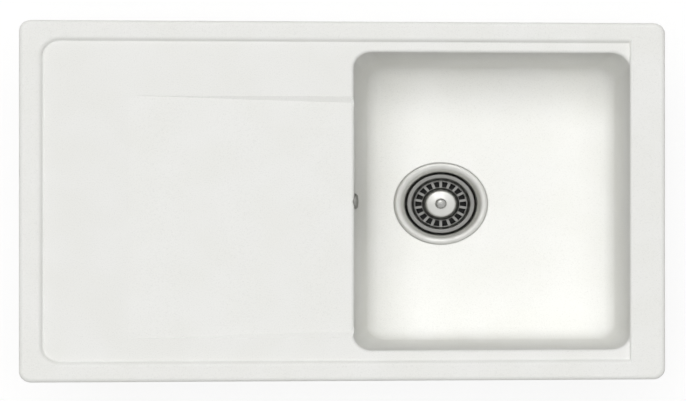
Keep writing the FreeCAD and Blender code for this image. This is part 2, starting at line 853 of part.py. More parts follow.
def add_underside(body):
    """Ribs under the draining board, knock-outs for the tap holes and holes for the clip inserts."""
    long_ribs = add_sketch(body, "rib_plan", offset=S.slab_underside)
    half = S.rib_thickness / 2
    for side in (-1, 1):
        middle = (half_width - S.rib_side_margin) * side
        draw_rectangle(long_ribs, rib_start_x, rib_end_x, middle - half, middle + half)
    add_feature(body, "Pad", "ribs", long_ribs, Length=S.rib_depth, Reversed=True)
    cross_ribs = add_sketch(body, "cross_rib_plan", offset=S.slab_underside)
    for step in range(round(S.cross_rib_count.number)):
        middle = rib_start_x + cross_rib_spacing * (step + 0.5)
        reach = half_width - S.cross_rib_side_margin
        draw_rectangle(cross_ribs, middle - half, middle + half, -reach, reach)
    add_feature(body, "Pad", "cross_ribs", cross_ribs, Length=S.rib_depth, Reversed=True)
    knockouts = add_sketch(body, "knockout_plan", offset=S.slab_underside)
    for step in range(round(S.knockout_count.number)):
        across = wall_west - S.knockout_bowl_gap - S.knockout_spacing * step
        draw_circle(knockouts, across, knockout_y, S.knockout_radius)
    add_feature(body, "Pocket", "knockouts", knockouts, Length=S.knockout_depth, Reversed=True)
    holes = add_sketch(body, "insert_hole_plan", offset=S.slab_underside)
    for across, back in clip_screw_spots():
        draw_circle(holes, across, back, S.insert_outer_radius + S.insert_clearance)
    add_feature(
        body, "Pocket", "insert_holes", holes,
        Length=S.insert_length + S.insert_clearance, Reversed=True,
    )


def make_drainer_cutter():
    """What the falling draining board takes out of the deck, down to its own rounded lip at the bowl."""
    body = add_body("drainer_cutter")
    spread = tangent(as_size(QUARTER_TURN) - S.drainer_side_angle)
    top = S.recess_level + S.drainer_overrun
    foot = S.lip_foot_level - S.bowl_edge_radius
    rise, drop = (top - S.recess_level) * spread, (S.recess_level - foot) * spread
    start = add_sketch(body, "cutter_section", "YZ_Plane", drainer_start - S.drainer_overrun)
    draw_outline(
        start,
        [
            (drainer_back - drop, foot),
            (drainer_back + rise, top),
            (drainer_front - rise, top),
            (drainer_front + drop, foot),
        ],
    )
    length = S.drainer_overrun + wall_west - drainer_start + S.bowl_edge_radius * 2
    add_feature(body, "Pad", "cutter_block", start, Length=length)
    board_end = wall_west - lip_reach
    fall = S.drainer_fall / (board_end - drainer_start)
    board_level = S.recess_level - S.drainer_fall
    wall_x = wall_west + (S.rim_top - board_level) * lean
    board = add_sketch(body, "board_profile", "XZ_Plane")
    back_x = drainer_start - S.drainer_overrun * 2
    back_z = S.recess_level + S.drainer_overrun * 2 * fall
    end_x = wall_x - lip_reach
    draw_outline(
        board,
        [
            (back_x, foot - S.overrun),
            (back_x + length + S.drainer_overrun * 2, foot - S.overrun),
            (back_x + length + S.drainer_overrun * 2, board_level - S.bowl_edge_radius),
            (
                wall_x + lip_reach * sine(S.bowl_lean),
                board_level - lip_reach * cosine(S.bowl_lean),
            ),
            (end_x, board_level, S.bowl_edge_radius, 1),
            (back_x, back_z),
        ],
    )
    add_feature(
        body, "Pocket", "board", board,
        Length=(drainer_back - drainer_front) * 2, SideType="Symmetric",
    )
    return body


def make_basin():
    body = add_body("basin_casting")
    add_deck(body)
    add_bowl(body)
    add_rim(body)
    round_edges(body, "rim_edge_round", rim_edge_radius, lies_on_outside(S.rim_top))
    round_edges(body, "rim_foot_round", rim_foot_radius, lies_on_outside(S.rim_underside))
    add_drain_hole(body)
    add_overflow_boss(body)
    add_underside(body)
    cutter = make_drainer_cutter()
    basin = doc.addObject("Part::Cut", "sink_basin")
    basin.Base = body
    basin.Tool = cutter
    basin.Refine = True
    return basin


def make_rim_seal():
    body = add_body("rim_seal")
    plan = add_sketch(body, "seal_plan")
    for inset in (S.seal_outer_inset, S.seal_inner_inset):
        end, side = half_length - inset, half_width - inset
        draw_rounded_rectangle(plan, -end, end, -side, side, S.sink_corner_radius - inset)
    add_feature(body, "Pad", "seal_ring", plan, Length=S.rim_underside)


def place_clip_part(body, spot):
    """Puts a clip's part under its stud, with its outer side towards the worktop's edge."""
    across, back, turns = spot
    place_body(body, across, back, S.slab_underside, turns * QUARTER_TURN)


def make_clip_bracket(number, spot):
    body = add_body(f"clip_bracket_{number}")
    plan = add_sketch(body, f"bracket_plan_{number}")
    end, side = S.clip_plate_length / 2, S.clip_plate_width / 2
    draw_rounded_rectangle(plan, -end, end, -side, side, S.clip_corner_radius)
    for turn in (-1, 1):
        draw_circle(plan, S.clip_screw_offset * turn, 0, screw_hole_radius)
    add_feature(
        body, "Pad", f"bracket_plate_{number}", plan, Length=S.clip_plate_thickness, Reversed=True
    )
    place_clip_part(body, spot)


def make_clip_claw(number, spot):
    """A strip that turns about the stud, with its end bent up to bite under the worktop."""
    body = add_body(f"clip_claw_{number}")
    side_view = add_sketch(body, f"claw_side_{number}", "XZ_Plane")
    foot = S.claw_top - S.claw_thickness
    tip = S.claw_top + S.claw_tip_height
    inner = S.claw_reach - S.claw_thickness
    draw_outline(
        side_view,
        [
            (-S.claw_back_reach, foot),
            (S.claw_reach - S.claw_bend_radius, foot),
            (S.claw_reach, foot + S.claw_bend_radius, S.claw_bend_radius, 1),
            (S.claw_reach, tip),
            (inner, tip),
            (inner, S.claw_top),
            (-S.claw_back_reach, S.claw_top),
        ],
    )
    add_feature(
        body, "Pad", f"claw_strip_{number}", side_view, Length=S.claw_width, SideType="Symmetric"
    )
    hole = add_sketch(body, f"claw_hole_{number}", offset=S.claw_top)
    draw_circle(hole, 0, 0, stud_hole_radius)
    add_feature(
        body, "Pocket", f"claw_bore_{number}", hole, Length=S.claw_thickness + S.overrun
    )
    round_edges(
        body, f"claw_heel_round_{number}", S.clip_corner_radius,
        lambda box: box.XMax < CLOSE - float(S.claw_back_reach) and box.ZLength > CLOSE,
    )
    place_clip_part(body, spot)


def make_clip_nut(number, spot):
    """A wing nut: a round hub with two wings along the sink's edge."""
    body = add_body(f"clip_nut_{number}")
    top = S.claw_top - S.claw_thickness - S.nut_gap
    wings = add_sketch(body, f"wing_plan_{number}", offset=top - S.nut_collar_height)
    reach, half = S.wing_reach, S.wing_thickness / 2
    draw_rounded_rectangle(wings, -reach, reach, -half, half, S.wing_end_radius)
    add_feature(
        body, "Pad", f"wings_{number}", wings, Length=S.wing_height, Reversed=True
    )
    hub = add_sketch(body, f"hub_plan_{number}", offset=top)
    draw_circle(hub, 0, 0, S.nut_hub_radius)
    add_feature(body, "Pad", f"hub_{number}", hub, Length=S.nut_height, Reversed=True)
    bore = add_sketch(body, f"nut_bore_plan_{number}", offset=top)
    draw_circle(bore, 0, 0, stud_hole_radius)
    add_feature(body, "Pocket", f"nut_bore_{number}", bore, Length=S.nut_height + S.overrun)
    place_clip_part(body, spot)


def make_clip_fasteners():
    """The studs, screws and threaded inserts of all the clips, each kind as one group."""
    plate_foot = S.slab_underside - S.clip_plate_thickness
    studs = add_body("clip_studs")
    stud_plan = add_sketch(studs, "stud_plan", offset=plate_foot)
    for across, back, _ in CLIPS:
        draw_circle(stud_plan, across, back, S.stud_radius)
    add_feature(studs, "Pad", "studs", stud_plan, Length=S.stud_length, Reversed=True)

    screws = add_body("clip_screws")
    shanks = add_sketch(screws, "screw_shank_plan", offset=plate_foot - S.screw_head_height / 2)
    heads = add_sketch(screws, "screw_head_plan", offset=plate_foot)
    for across, back in clip_screw_spots():
        draw_circle(shanks, across, back, S.screw_radius)
        draw_circle(heads, across, back, S.screw_head_radius)
    shank_length = S.screw_length + S.clip_plate_thickness + S.screw_head_height / 2
    add_feature(screws, "Pad", "screw_shanks", shanks, Length=shank_length)
    add_feature(screws, "Pad", "screw_heads", heads, Length=S.screw_head_height, Reversed=True)

    inserts = add_body("clip_inserts")
    rings = add_sketch(inserts, "insert_plan", offset=S.slab_underside)
    for across, back in clip_screw_spots():
        draw_circle(rings, across, back, S.insert_outer_radius)
        draw_circle(rings, across, back, insert_inner_radius)
    add_feature(inserts, "Pad", "inserts", rings, Length=S.insert_length)


def place_in_drain(body):
    """Puts a part on the drain's axis, with its heights counted from the bowl's floor."""
    return place_body(body, drain_x, 0, S.bowl_floor_level)


def cut_ring_of_holes(body, name, circle, radius, count, top, depth):
    hole = add_sketch(body, f"{name}_plan", offset=top)
    draw_circle(hole, circle, 0, radius)
    cut = add_feature(body, "Pocket", name, hole, Length=depth)
    return repeat_round(body, cut, count)


def make_strainer_flange():
    """The steel flange with the cup under it, pressed in one piece."""
    steel, gap = S.steel_thickness, S.cup_outer_slope_gap
    body = make_turned(
        "strainer_flange",
        [
            (S.flange_radius, flange_underside),
            (S.flange_radius, S.flange_edge_height),
            (S.flange_inner_radius, S.flange_inner_height, S.flange_crown_round, 1),
            (S.throat_radius, S.throat_level, S.throat_round, 1),
            (S.throat_radius, S.throat_foot_level),
            (S.cup_taper_radius, cup_taper_level),
            (S.cup_floor_radius, S.cup_floor_level),
            (bolt_hole_radius, S.cup_floor_level),
            (bolt_hole_radius, S.cup_floor_level - steel),
            (S.cup_floor_radius + steel / 2, S.cup_floor_level - steel),
            (S.cup_taper_radius + gap, cup_taper_level),
            (S.throat_radius + steel, S.throat_foot_level),
            (S.throat_radius + steel, S.throat_level),
            (S.flange_inner_radius, flange_underside - steel),
            (S.flange_inner_radius, flange_underside),
        ],
    )
    cut_ring_of_holes(
        body, "cup_slot", S.cup_slot_circle, S.cup_slot_radius, S.cup_slot_count,
        S.cup_floor_level + S.overrun / 2, steel + S.overrun,
    )
    place_in_drain(body)


def make_basket_pan():
    """The slotted pan of the basket, with a domed middle."""
    steel, slope = S.pan_thickness, S.pan_slope_gap
    body = make_turned(
        "basket_pan",
        [
            (basket_rim_radius, basket_rim_level - S.basket_rim_drop),
            (basket_rim_radius, basket_rim_level - steel),
            (basket_rim_radius - steel, basket_rim_level, steel, 1),
            (S.basket_rim_inner_radius, basket_rim_level),
            (S.basket_wall_top_radius, basket_wall_top_level),
            (S.basket_wall_foot_radius, basket_wall_foot_level),
            (S.channel_outer_radius, channel_level),
            (S.channel_inner_radius, channel_level),
            (S.dome_foot_radius, basket_wall_foot_level),
            (S.dome_shoulder_radius, dome_shoulder_level),
            (S.dome_crown_radius, dome_crown_level),
            (S.dome_land_radius, dome_top_level),
            (pan_hole_radius, dome_top_level),
            (pan_hole_radius, dome_top_level - steel),
            (S.dome_land_radius, dome_top_level - steel),
            (S.dome_crown_radius - slope / 2, dome_crown_level - steel),
            (S.dome_shoulder_radius - slope, dome_shoulder_level),
            (S.dome_foot_radius - slope, basket_wall_foot_level - steel / 2),
            (S.channel_inner_radius - steel / 2, channel_level - steel),
            (S.channel_outer_radius + steel / 2, channel_level - steel),
            (S.basket_wall_foot_radius + slope, basket_wall_foot_level - steel / 2),
            (S.basket_wall_top_radius + slope, basket_wall_top_level - steel / 2),
            (S.basket_rim_inner_radius + steel / 2, basket_rim_level - steel),
            (basket_rim_radius - steel, basket_rim_level - steel),
            (basket_rim_radius - steel, basket_rim_level - S.basket_rim_drop),
        ],
    )
    start = S.channel_inner_radius + S.basket_slot_inner_gap
    end = S.channel_outer_radius - S.basket_slot_outer_gap
    near, far = S.basket_slot_inner_width / 2, S.basket_slot_outer_width / 2
    slot = add_sketch(body, "basket_slot_plan", offset=channel_level + S.overrun / 2)
    draw_outline(slot, [(end, -far), (end, far), (start, near), (start, -near)])
    cut = add_feature(body, "Pocket", "basket_slot", slot, Length=steel + S.overrun)
    repeat_round(body, cut, S.basket_slot_count)
    place_in_drain(body)


def make_basket_knob():
    """The knob with the sleeve and stem below it, turned from one bar."""
    dome_underside = dome_top_level - S.pan_thickness
    body = make_turned(
        "basket_knob",
        [
            (0, stem_foot_level),
            (S.stem_tip_radius, stem_foot_level),
            (S.stem_radius, stem_foot_level + S.stem_tip_height),
            (S.stem_radius, washer_foot - S.clip_ring_thickness),
            (groove_radius, washer_foot - S.clip_ring_thickness),
            (groove_radius, washer_foot),
            (S.stem_radius, washer_foot),
            (S.stem_radius, plug_top_level),
            (S.sleeve_radius, plug_top_level),
            (S.sleeve_radius, dome_underside),
            (S.stem_radius, dome_underside),
            (S.stem_radius, dome_top_level),
            (S.knob_waist_radius, dome_top_level),
            (S.knob_waist_radius, knob_underside),
            (S.knob_radius, knob_side_level),
            (0, knob_top_level, knob_crown_round, 1),
        ],
    )
    place_in_drain(body)


def make_plug_seal():
    body = make_turned(
        "plug_seal",
        [
            (plug_hole_radius, plug_underside),
            (plug_hole_radius, plug_top_level),
            (S.plug_shoulder_radius, plug_top_level),
            (S.plug_radius, plug_rim_level),
            (S.plug_radius, plug_lip_level),
            (S.plug_lip_inner_radius, plug_lip_level),
            (S.plug_lip_root_radius, plug_underside),
        ],
    )
    place_in_drain(body)


def make_stem_hardware():
    place_in_drain(
        make_ring("plug_washer", plug_hole_radius, S.washer_radius, washer_foot, plug_underside)
    )
    place_in_drain(
        make_ring(
            "stem_clip", clip_ring_inner_radius, S.clip_ring_radius,
            washer_foot - S.clip_ring_thickness, washer_foot,
        )
    )


def make_centre_bolt():
    """The hollow bolt that draws the waste body up to the cup and guides the basket's stem."""
    head_top = S.cup_floor_level + S.bolt_head_height
    body = make_turned(
        "centre_bolt",
        [
            (S.bolt_head_radius, S.cup_floor_level),
            (S.bolt_head_radius, head_top),
            (bolt_bore_radius, head_top),
            (bolt_bore_radius, bolt_bore_foot),
            (0, bolt_bore_foot),
            (0, bolt_foot_level),
            (S.bolt_radius - S.bolt_chamfer, bolt_foot_level),
            (S.bolt_radius, bolt_foot_level + S.bolt_chamfer),
            (S.bolt_radius, S.cup_floor_level),
        ],
    )
    place_in_drain(body)


def make_bolt_nut():
    body = add_body("bolt_nut")
    plan = add_sketch(body, "bolt_nut_plan", offset=spider_foot_level)
    draw_hexagon(plan, S.bolt_nut_radius)
    draw_circle(plan, 0, 0, bolt_nut_hole_radius)
    add_feature(body, "Pad", "bolt_nut_hexagon", plan, Length=bolt_nut_top - spider_foot_level)
    place_in_drain(body)


def make_gaskets():
    seat = -S.flange_seat_depth
    place_in_drain(
        make_ring(
            "flange_gasket", gasket_inner_radius, gasket_outer_radius, seat, flange_underside
        )
    )
    floor_foot = -S.wall_thickness
    place_in_drain(
        make_ring(
            "under_gasket", gasket_inner_radius, S.body_flange_radius,
            floor_foot - S.under_gasket_thickness, floor_foot,
        )
    )


def make_waste_body():
    """The plastic waste under the bowl: chamber, funnel and threaded outlet, with the overflow spigot."""
    top = -S.wall_thickness - S.under_gasket_thickness
    flange_foot = top - S.body_flange_thickness
    outside = S.chamber_radius + S.chamber_wall
    neck = S.outlet_radius - S.outlet_bore_radius
    body = make_turned(
        "waste_body",
        [
            (S.chamber_radius, top),
            (S.chamber_radius, chamber_foot_level),
            (S.outlet_bore_radius, funnel_foot_level),
            (S.outlet_bore_radius, outlet_level),
            (S.outlet_radius, outlet_level),
            (S.outlet_radius, funnel_foot_level - S.funnel_outer_drop),
            (outside, chamber_foot_level - neck / 2),
            (outside, flange_foot),
            (S.body_flange_radius, flange_foot),
            (S.body_flange_radius, top),
        ],
    )
    gusset = add_sketch(body, "gusset_side", "XZ_Plane")
    draw_outline(
        gusset,
        [
            (outside - S.gusset_bite, flange_foot - S.gusset_height),
            (outside, flange_foot - S.gusset_height),
            (S.body_flange_radius - S.gusset_edge_gap, flange_foot + S.gusset_bite),
            (outside - S.gusset_bite, flange_foot + S.gusset_bite),
        ],
    )
    gussets = add_feature(
        body, "Pad", "gusset", gusset, Length=S.gusset_thickness, SideType="Symmetric"
    )
    repeat_round(body, gussets, S.gusset_count)
    spigot = add_sketch(body, "spigot_plan", "YZ_Plane", S.spigot_root_x)
    draw_circle(spigot, 0, S.spigot_level, S.spigot_radius)
    spigot_length = S.spigot_root_x - S.spigot_end_x
    add_feature(body, "Pad", "spigot", spigot, Length=spigot_length, Reversed=True)
    socket = add_sketch(body, "spigot_socket_plan", "YZ_Plane", S.spigot_end_x)
    draw_circle(socket, 0, S.spigot_level, spigot_bore_radius)
    add_feature(
        body, "Pocket", "spigot_socket", socket, Length=S.spigot_stop_x - S.spigot_end_x, Reversed=True
    )
    port = add_sketch(body, "spigot_port_plan", "YZ_Plane", S.spigot_port_start_x)
    draw_circle(port, 0, S.spigot_level, S.spigot_port_radius)
    port_length = S.spigot_port_start_x - S.spigot_stop_x + S.overrun
    add_feature(body, "Pocket", "spigot_port", port, Length=port_length)

    arm = add_sketch(body, "spider_arm_side", "XZ_Plane")
    draw_outline(
        arm,
        [
            (S.spider_arm_root, spider_arm_foot),
            (S.spider_arm_foot_reach, spider_arm_foot),
            (S.spider_arm_reach, spider_boss_top),
            (S.spider_arm_root, spider_boss_top),
        ],
    )
    arms = add_feature(
        body, "Pad", "spider_arm", arm, Length=S.spider_arm_thickness, SideType="Symmetric"
    )
    repeat_round(body, arms, S.spider_arm_count)
    boss = add_sketch(body, "spider_boss_plan", offset=spider_foot_level)
    draw_circle(boss, 0, 0, S.spider_boss_radius)
    boss_height = spider_boss_top - spider_foot_level
    add_feature(body, "Pad", "spider_boss", boss, Length=boss_height)
    bore = add_sketch(body, "spider_bore_plan", offset=spider_boss_top)
    draw_circle(bore, 0, 0, bolt_hole_radius)
    add_feature(body, "Pocket", "spider_bore", bore, Length=boss_height + S.overrun)
    pocket = add_sketch(body, "nut_pocket_plan", offset=spider_foot_level)
    draw_hexagon(pocket, S.bolt_nut_radius + S.bolt_nut_clearance)
    pocket_depth = bolt_nut_top - spider_foot_level + S.bolt_nut_clearance
    add_feature(body, "Pocket", "nut_pocket", pocket, Length=pocket_depth, Reversed=True)
    place_in_drain(body)


def make_overflow_rose():
    """The round cover of the overflow, with its neck through the bowl's wall."""
    plate = S.rose_plate_thickness
    body = make_turned(
        "overflow_rose",
        [
            (rose_neck_inner_radius, -S.rose_neck_depth),
            (S.rose_neck_radius, -S.rose_neck_depth),
            (S.rose_neck_radius, S.rose_seal_thickness),
            (S.rose_radius, S.rose_seal_thickness),
            (S.rose_radius, S.rose_edge_height),
            (S.rose_crown_radius, S.rose_crown_height),
            (0, S.rose_top_height),
            (0, S.rose_top_height - plate),
            (rose_neck_inner_radius, S.rose_crown_height - plate),
        ],
    )
    depth = S.rose_top_height + S.overrun
    cut_ring_of_holes(
        body, "rose_dot", S.rose_dot_circle, S.rose_dot_radius, S.rose_dot_count,
        S.rose_top_height + S.overrun, depth,
    )
    centre = add_sketch(body, "rose_centre_plan", offset=S.rose_top_height + S.overrun)
    draw_circle(centre, 0, 0, S.rose_dot_radius)
    add_feature(body, "Pocket", "rose_centre", centre, Length=depth)
    place_body(body, overflow_seat_x, 0, overflow_level, QUARTER_TURN, (0, 1, 0))
    seal_radius = S.rose_radius - S.rose_seal_inset
    seal = make_ring("rose_seal", overflow_hole_radius, seal_radius, 0, S.rose_seal_thickness)
    place_body(seal, overflow_seat_x, 0, overflow_level, QUARTER_TURN, (0, 1, 0))


def make_overflow_tail():
    """The threaded tail in the duct's foot, with a socket for the pipe."""
    body = make_turned(
        "overflow_tail",
        [
            (S.tail_bore_radius, boss_foot + S.tail_plug_height),
            (S.tail_bore_radius, tail_foot + S.tail_socket_depth),
            (spigot_bore_radius, tail_foot + S.tail_socket_depth),
            (spigot_bore_radius, tail_foot),
            (S.spigot_radius, tail_foot),
            (S.spigot_radius, tail_flange_foot),
            (S.tail_flange_radius, tail_flange_foot),
            (S.tail_flange_radius, tail_flange_top),
            (tail_plug_radius, tail_flange_top),
            (tail_plug_radius, boss_foot + S.tail_plug_height),
        ],
    )
    place_body(body, overflow_duct_x)
    seal = make_ring(
        "tail_seal", S.overflow_duct_radius, S.tail_flange_radius, tail_flange_top, boss_foot
    )
    place_body(seal, overflow_duct_x)


def make_overflow_pipe():
    """The rigid pipe from the tail down and under the bowl to the waste."""
    body = add_body("overflow_pipe")
    route = add_sketch(body, "pipe_route", "XZ_Plane")
    top = tail_foot + S.tail_socket_depth - S.pipe_end_gap
    end = drain_x + S.spigot_stop_x - S.pipe_end_gap
    bend = S.pipe_bend_radius
    points = [
        (overflow_duct_x, top),
        (overflow_duct_x, pipe_level + bend),
        (overflow_duct_x + bend, pipe_level, bend, 1),
        (end, pipe_level),
    ]
    draw_path(route, points)
    ends = add_sketch(body, "pipe_section", offset=top)
    draw_circle(ends, overflow_duct_x, 0, S.pipe_radius)
    draw_circle(ends, overflow_duct_x, 0, S.pipe_radius - S.pipe_wall)
    pipe = add_feature(body, "AdditivePipe", "pipe", ends)
    pipe.Spine = (route, ["Edge1", "Edge2", "Edge3"])


def make_compression_joint(nut_label, seal_label, across, up, turn):
    """A nut and its seal on a threaded spigot whose end is at the local origin, with the pipe along -Z."""
    seal_foot = -S.compression_seal_thickness
    nut_foot = seal_foot - S.compression_nut_floor
    clearance = S.compression_seal_clearance
    bore = S.pipe_radius + clearance
    thread = S.spigot_radius + S.compression_thread_clearance
    nut = make_turned(
        nut_label,
        [
            (bore, nut_foot),
            (S.compression_nut_radius, nut_foot),
            (S.compression_nut_radius, nut_foot + S.compression_nut_reach),
            (thread, nut_foot + S.compression_nut_reach),
            (thread, seal_foot),
            (bore, seal_foot),
        ],
    )
    flute = add_sketch(nut, f"{nut_label}_flute_plan", offset=nut_foot)
    draw_circle(flute, S.compression_nut_radius + S.grip_flute_radius / 2, 0, S.grip_flute_radius)
    cut = add_feature(
        nut, "Pocket", f"{nut_label}_flute", flute, Length=S.compression_nut_reach, Reversed=True
    )
    repeat_round(nut, cut, S.grip_flute_count)
    seal = make_ring(seal_label, bore, thread - clearance * 2, seal_foot, 0)
    for body in (nut, seal):
        place_body(body, across, 0, up, turn, (0, 1, 0))


def build():
    make_basin()
    make_rim_seal()
    for number, spot in enumerate(CLIPS, start=1):
        make_clip_bracket(number, spot)
        make_clip_claw(number, spot)
        make_clip_nut(number, spot)
    make_clip_fasteners()
    make_strainer_flange()
    make_gaskets()
    make_basket_pan()
    make_basket_knob()
    make_plug_seal()
    make_stem_hardware()
    make_centre_bolt()
    make_bolt_nut()
    make_waste_body()
    make_overflow_rose()
    make_overflow_tail()
    make_overflow_pipe()
    make_compression_joint("overflow_nut_upper", "overflow_seal_upper", overflow_duct_x, tail_foot, 0)
    spigot_end = drain_x + S.spigot_end_x
    make_compression_joint(
        "overflow_nut_lower", "overflow_seal_lower", spigot_end, pipe_level, QUARTER_TURN
    )
    doc.recompute()


def is_handed_in(item):
    """Sub-parts are the bodies that are not only a step towards another one."""
    helper = item.Name in ("basin_casting", "drainer_cutter")
    return item.TypeId in ("PartDesign::Body", "Part::Cut") and not helper


def write_parts():
    faults = [item.Name for item in doc.Objects if {"Invalid", "Error"} & set(item.State)]
    if faults:
        raise RuntimeError(f"features with faults: {faults}")
    os.makedirs("parts", exist_ok=True)
    for item in filter(is_handed_in, doc.Objects):
        if item.Shape.isNull() or not item.Shape.isValid():
            raise RuntimeError(f"no sound shape: {item.Label}")
        item.Shape.exportStep(f"parts/{item.Label}.step")


build()
write_parts()
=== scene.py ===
import math

import bpy
from mathutils import Matrix, Vector


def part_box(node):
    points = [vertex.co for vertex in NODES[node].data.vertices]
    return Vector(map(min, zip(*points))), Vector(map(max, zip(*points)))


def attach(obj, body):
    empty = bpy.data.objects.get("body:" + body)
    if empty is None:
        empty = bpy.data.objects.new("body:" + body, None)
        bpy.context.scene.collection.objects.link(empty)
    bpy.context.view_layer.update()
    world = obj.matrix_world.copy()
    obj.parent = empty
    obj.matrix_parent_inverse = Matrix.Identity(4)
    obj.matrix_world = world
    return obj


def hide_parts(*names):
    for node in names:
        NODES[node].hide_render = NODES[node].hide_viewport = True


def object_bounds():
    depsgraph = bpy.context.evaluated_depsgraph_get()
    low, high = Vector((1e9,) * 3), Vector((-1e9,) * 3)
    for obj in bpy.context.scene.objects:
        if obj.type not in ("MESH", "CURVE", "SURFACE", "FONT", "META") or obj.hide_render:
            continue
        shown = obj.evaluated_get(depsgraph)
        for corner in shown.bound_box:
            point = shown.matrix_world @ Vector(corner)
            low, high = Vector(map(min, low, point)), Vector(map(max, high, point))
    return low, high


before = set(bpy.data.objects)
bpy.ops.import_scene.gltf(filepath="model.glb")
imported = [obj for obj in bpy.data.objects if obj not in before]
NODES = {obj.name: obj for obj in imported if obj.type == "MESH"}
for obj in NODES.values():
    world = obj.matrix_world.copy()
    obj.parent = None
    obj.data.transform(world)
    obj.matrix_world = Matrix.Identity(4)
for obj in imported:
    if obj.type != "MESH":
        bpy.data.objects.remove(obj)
cad_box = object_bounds()

MM = 0.001

# Points nearer than the seam are merged. A point this many millimetres from a corner is that corner.
SEAM = 0.002 * MM
CLOSE = 0.001

# Segments in a rounded corner, and sides of a round cutter.
ROUND_SEGMENTS = 5
PEG_SIDES = 24

# The strainer's cup in millimetres, and the drain's axis at the level of the bowl's floor, where the
# heights of the waste's pieces start.
CUP_DEPTH = 39
CUP_THICKNESS = 1
CUP_FLOOR = CUP_THICKNESS - CUP_DEPTH
flange_low, flange_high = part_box("strainer_flange")
DRAIN = Vector(((flange_low.x + flange_high.x) / 2, 0, flange_low.z + CUP_DEPTH * MM))

# The photograph: a look down from far off, a little from the front, and squeezed from front to back.
PHOTO_WIDTH = 828 * MM
PHOTO_SQUEEZE = 0.868
PHOTO_CENTRE = (-2.4 * MM, 0.9 * MM)
PHOTO_TILT = 1
CAMERA_LENS = 900
CAMERA_SENSOR = 36

FLOOR_SIZE = 60
FLOOR_GAP = 1 * MM


def linear_colour(code):
    """The linear colour of an sRGB hex code."""
    shares = [int(code[place:place + 2], 16) / 255 for place in (1, 3, 5)]
    lit = [share / 12.92 if share <= 0.04045 else ((share + 0.055) / 1.055) ** 2.4 for share in shares]
    return (*lit, 1)


def add_node(tree, kind, inputs=None, **settings):
    """Adds a shader node. An input is a plain value, or a (node, output) pair that is linked to it."""
    node = tree.nodes.new(kind)
    for name, value in settings.items():
        setattr(node, name, value)
    for socket, value in (inputs or {}).items():
        if isinstance(value, tuple) and isinstance(value[0], bpy.types.Node):
            tree.links.new(value[0].outputs[value[1]], node.inputs[socket])
        else:
            node.inputs[socket].default_value = value
    return node


def start_material(name):
    """An empty node material, and the coordinates that its patterns follow."""
    material = bpy.data.materials.new(name)
    material.use_nodes = True
    tree = material.node_tree
    tree.nodes.clear()
    return material, tree, add_node(tree, "ShaderNodeTexCoord")


def finish_material(tree, shader):
    add_node(tree, "ShaderNodeOutputMaterial", {"Surface": (shader, "BSDF")})


def colour_ramp(tree, factor, stops):
    """A ramp between hex colours, each at its place from 0 to 1."""
    ramp = add_node(tree, "ShaderNodeValToRGB", {"Fac": factor})
    elements = ramp.color_ramp.elements
    for index, (place, code) in enumerate(stops):
        element = elements[index] if index < 2 else elements.new(place)
        element.position = place
        element.color = linear_colour(code)
    return ramp


def cast_granite_composite():
    """Quartz grains bound in white acrylic resin, cast in a mould: silky, faintly grained, hardly glossy."""
    material, tree, place = start_material("cast_granite_composite")
    grain_size, cloud_size = 1.4 * MM, 60 * MM
    grain = add_node(
        tree, "ShaderNodeTexNoise",
        {"Vector": (place, "Object"), "Scale": 1 / grain_size, "Detail": 2, "Roughness": 0.7},
    )
    cloud = add_node(
        tree, "ShaderNodeTexNoise",
        {"Vector": (place, "Object"), "Scale": 1 / cloud_size, "Detail": 1},
    )
    speckle = colour_ramp(
        tree, (grain, "Fac"), [(0.3, "#E0E0DD"), (0.42, "#E9E9E6"), (0.7, "#ECECE9")]
    )
    tint = colour_ramp(tree, (cloud, "Fac"), [(0.35, "#FDFDFC"), (0.65, "#FFFFFF")])
    colour = add_node(
        tree, "ShaderNodeMix",
        {"Factor": 1, "A": (speckle, "Color"), "B": (tint, "Color")},
        data_type="RGBA", blend_type="MULTIPLY",
    )
    sheen = add_node(
        tree, "ShaderNodeMapRange",
        {"Value": (grain, "Fac"), "From Min": 0.3, "From Max": 0.7, "To Min": 0.62, "To Max": 0.5},
    )
    bump = add_node(
        tree, "ShaderNodeBump",
        {"Height": (grain, "Fac"), "Strength": 0.2, "Distance": 0.08 * MM},
    )
    shader = add_node(
        tree, "ShaderNodeBsdfPrincipled",
        {
            "Base Color": (colour, "Result"),
            "Roughness": (sheen, "Result"),
            "Normal": (bump, "Normal"),
            "IOR": 1.5,
        },
    )
    finish_material(tree, shader)
    return material


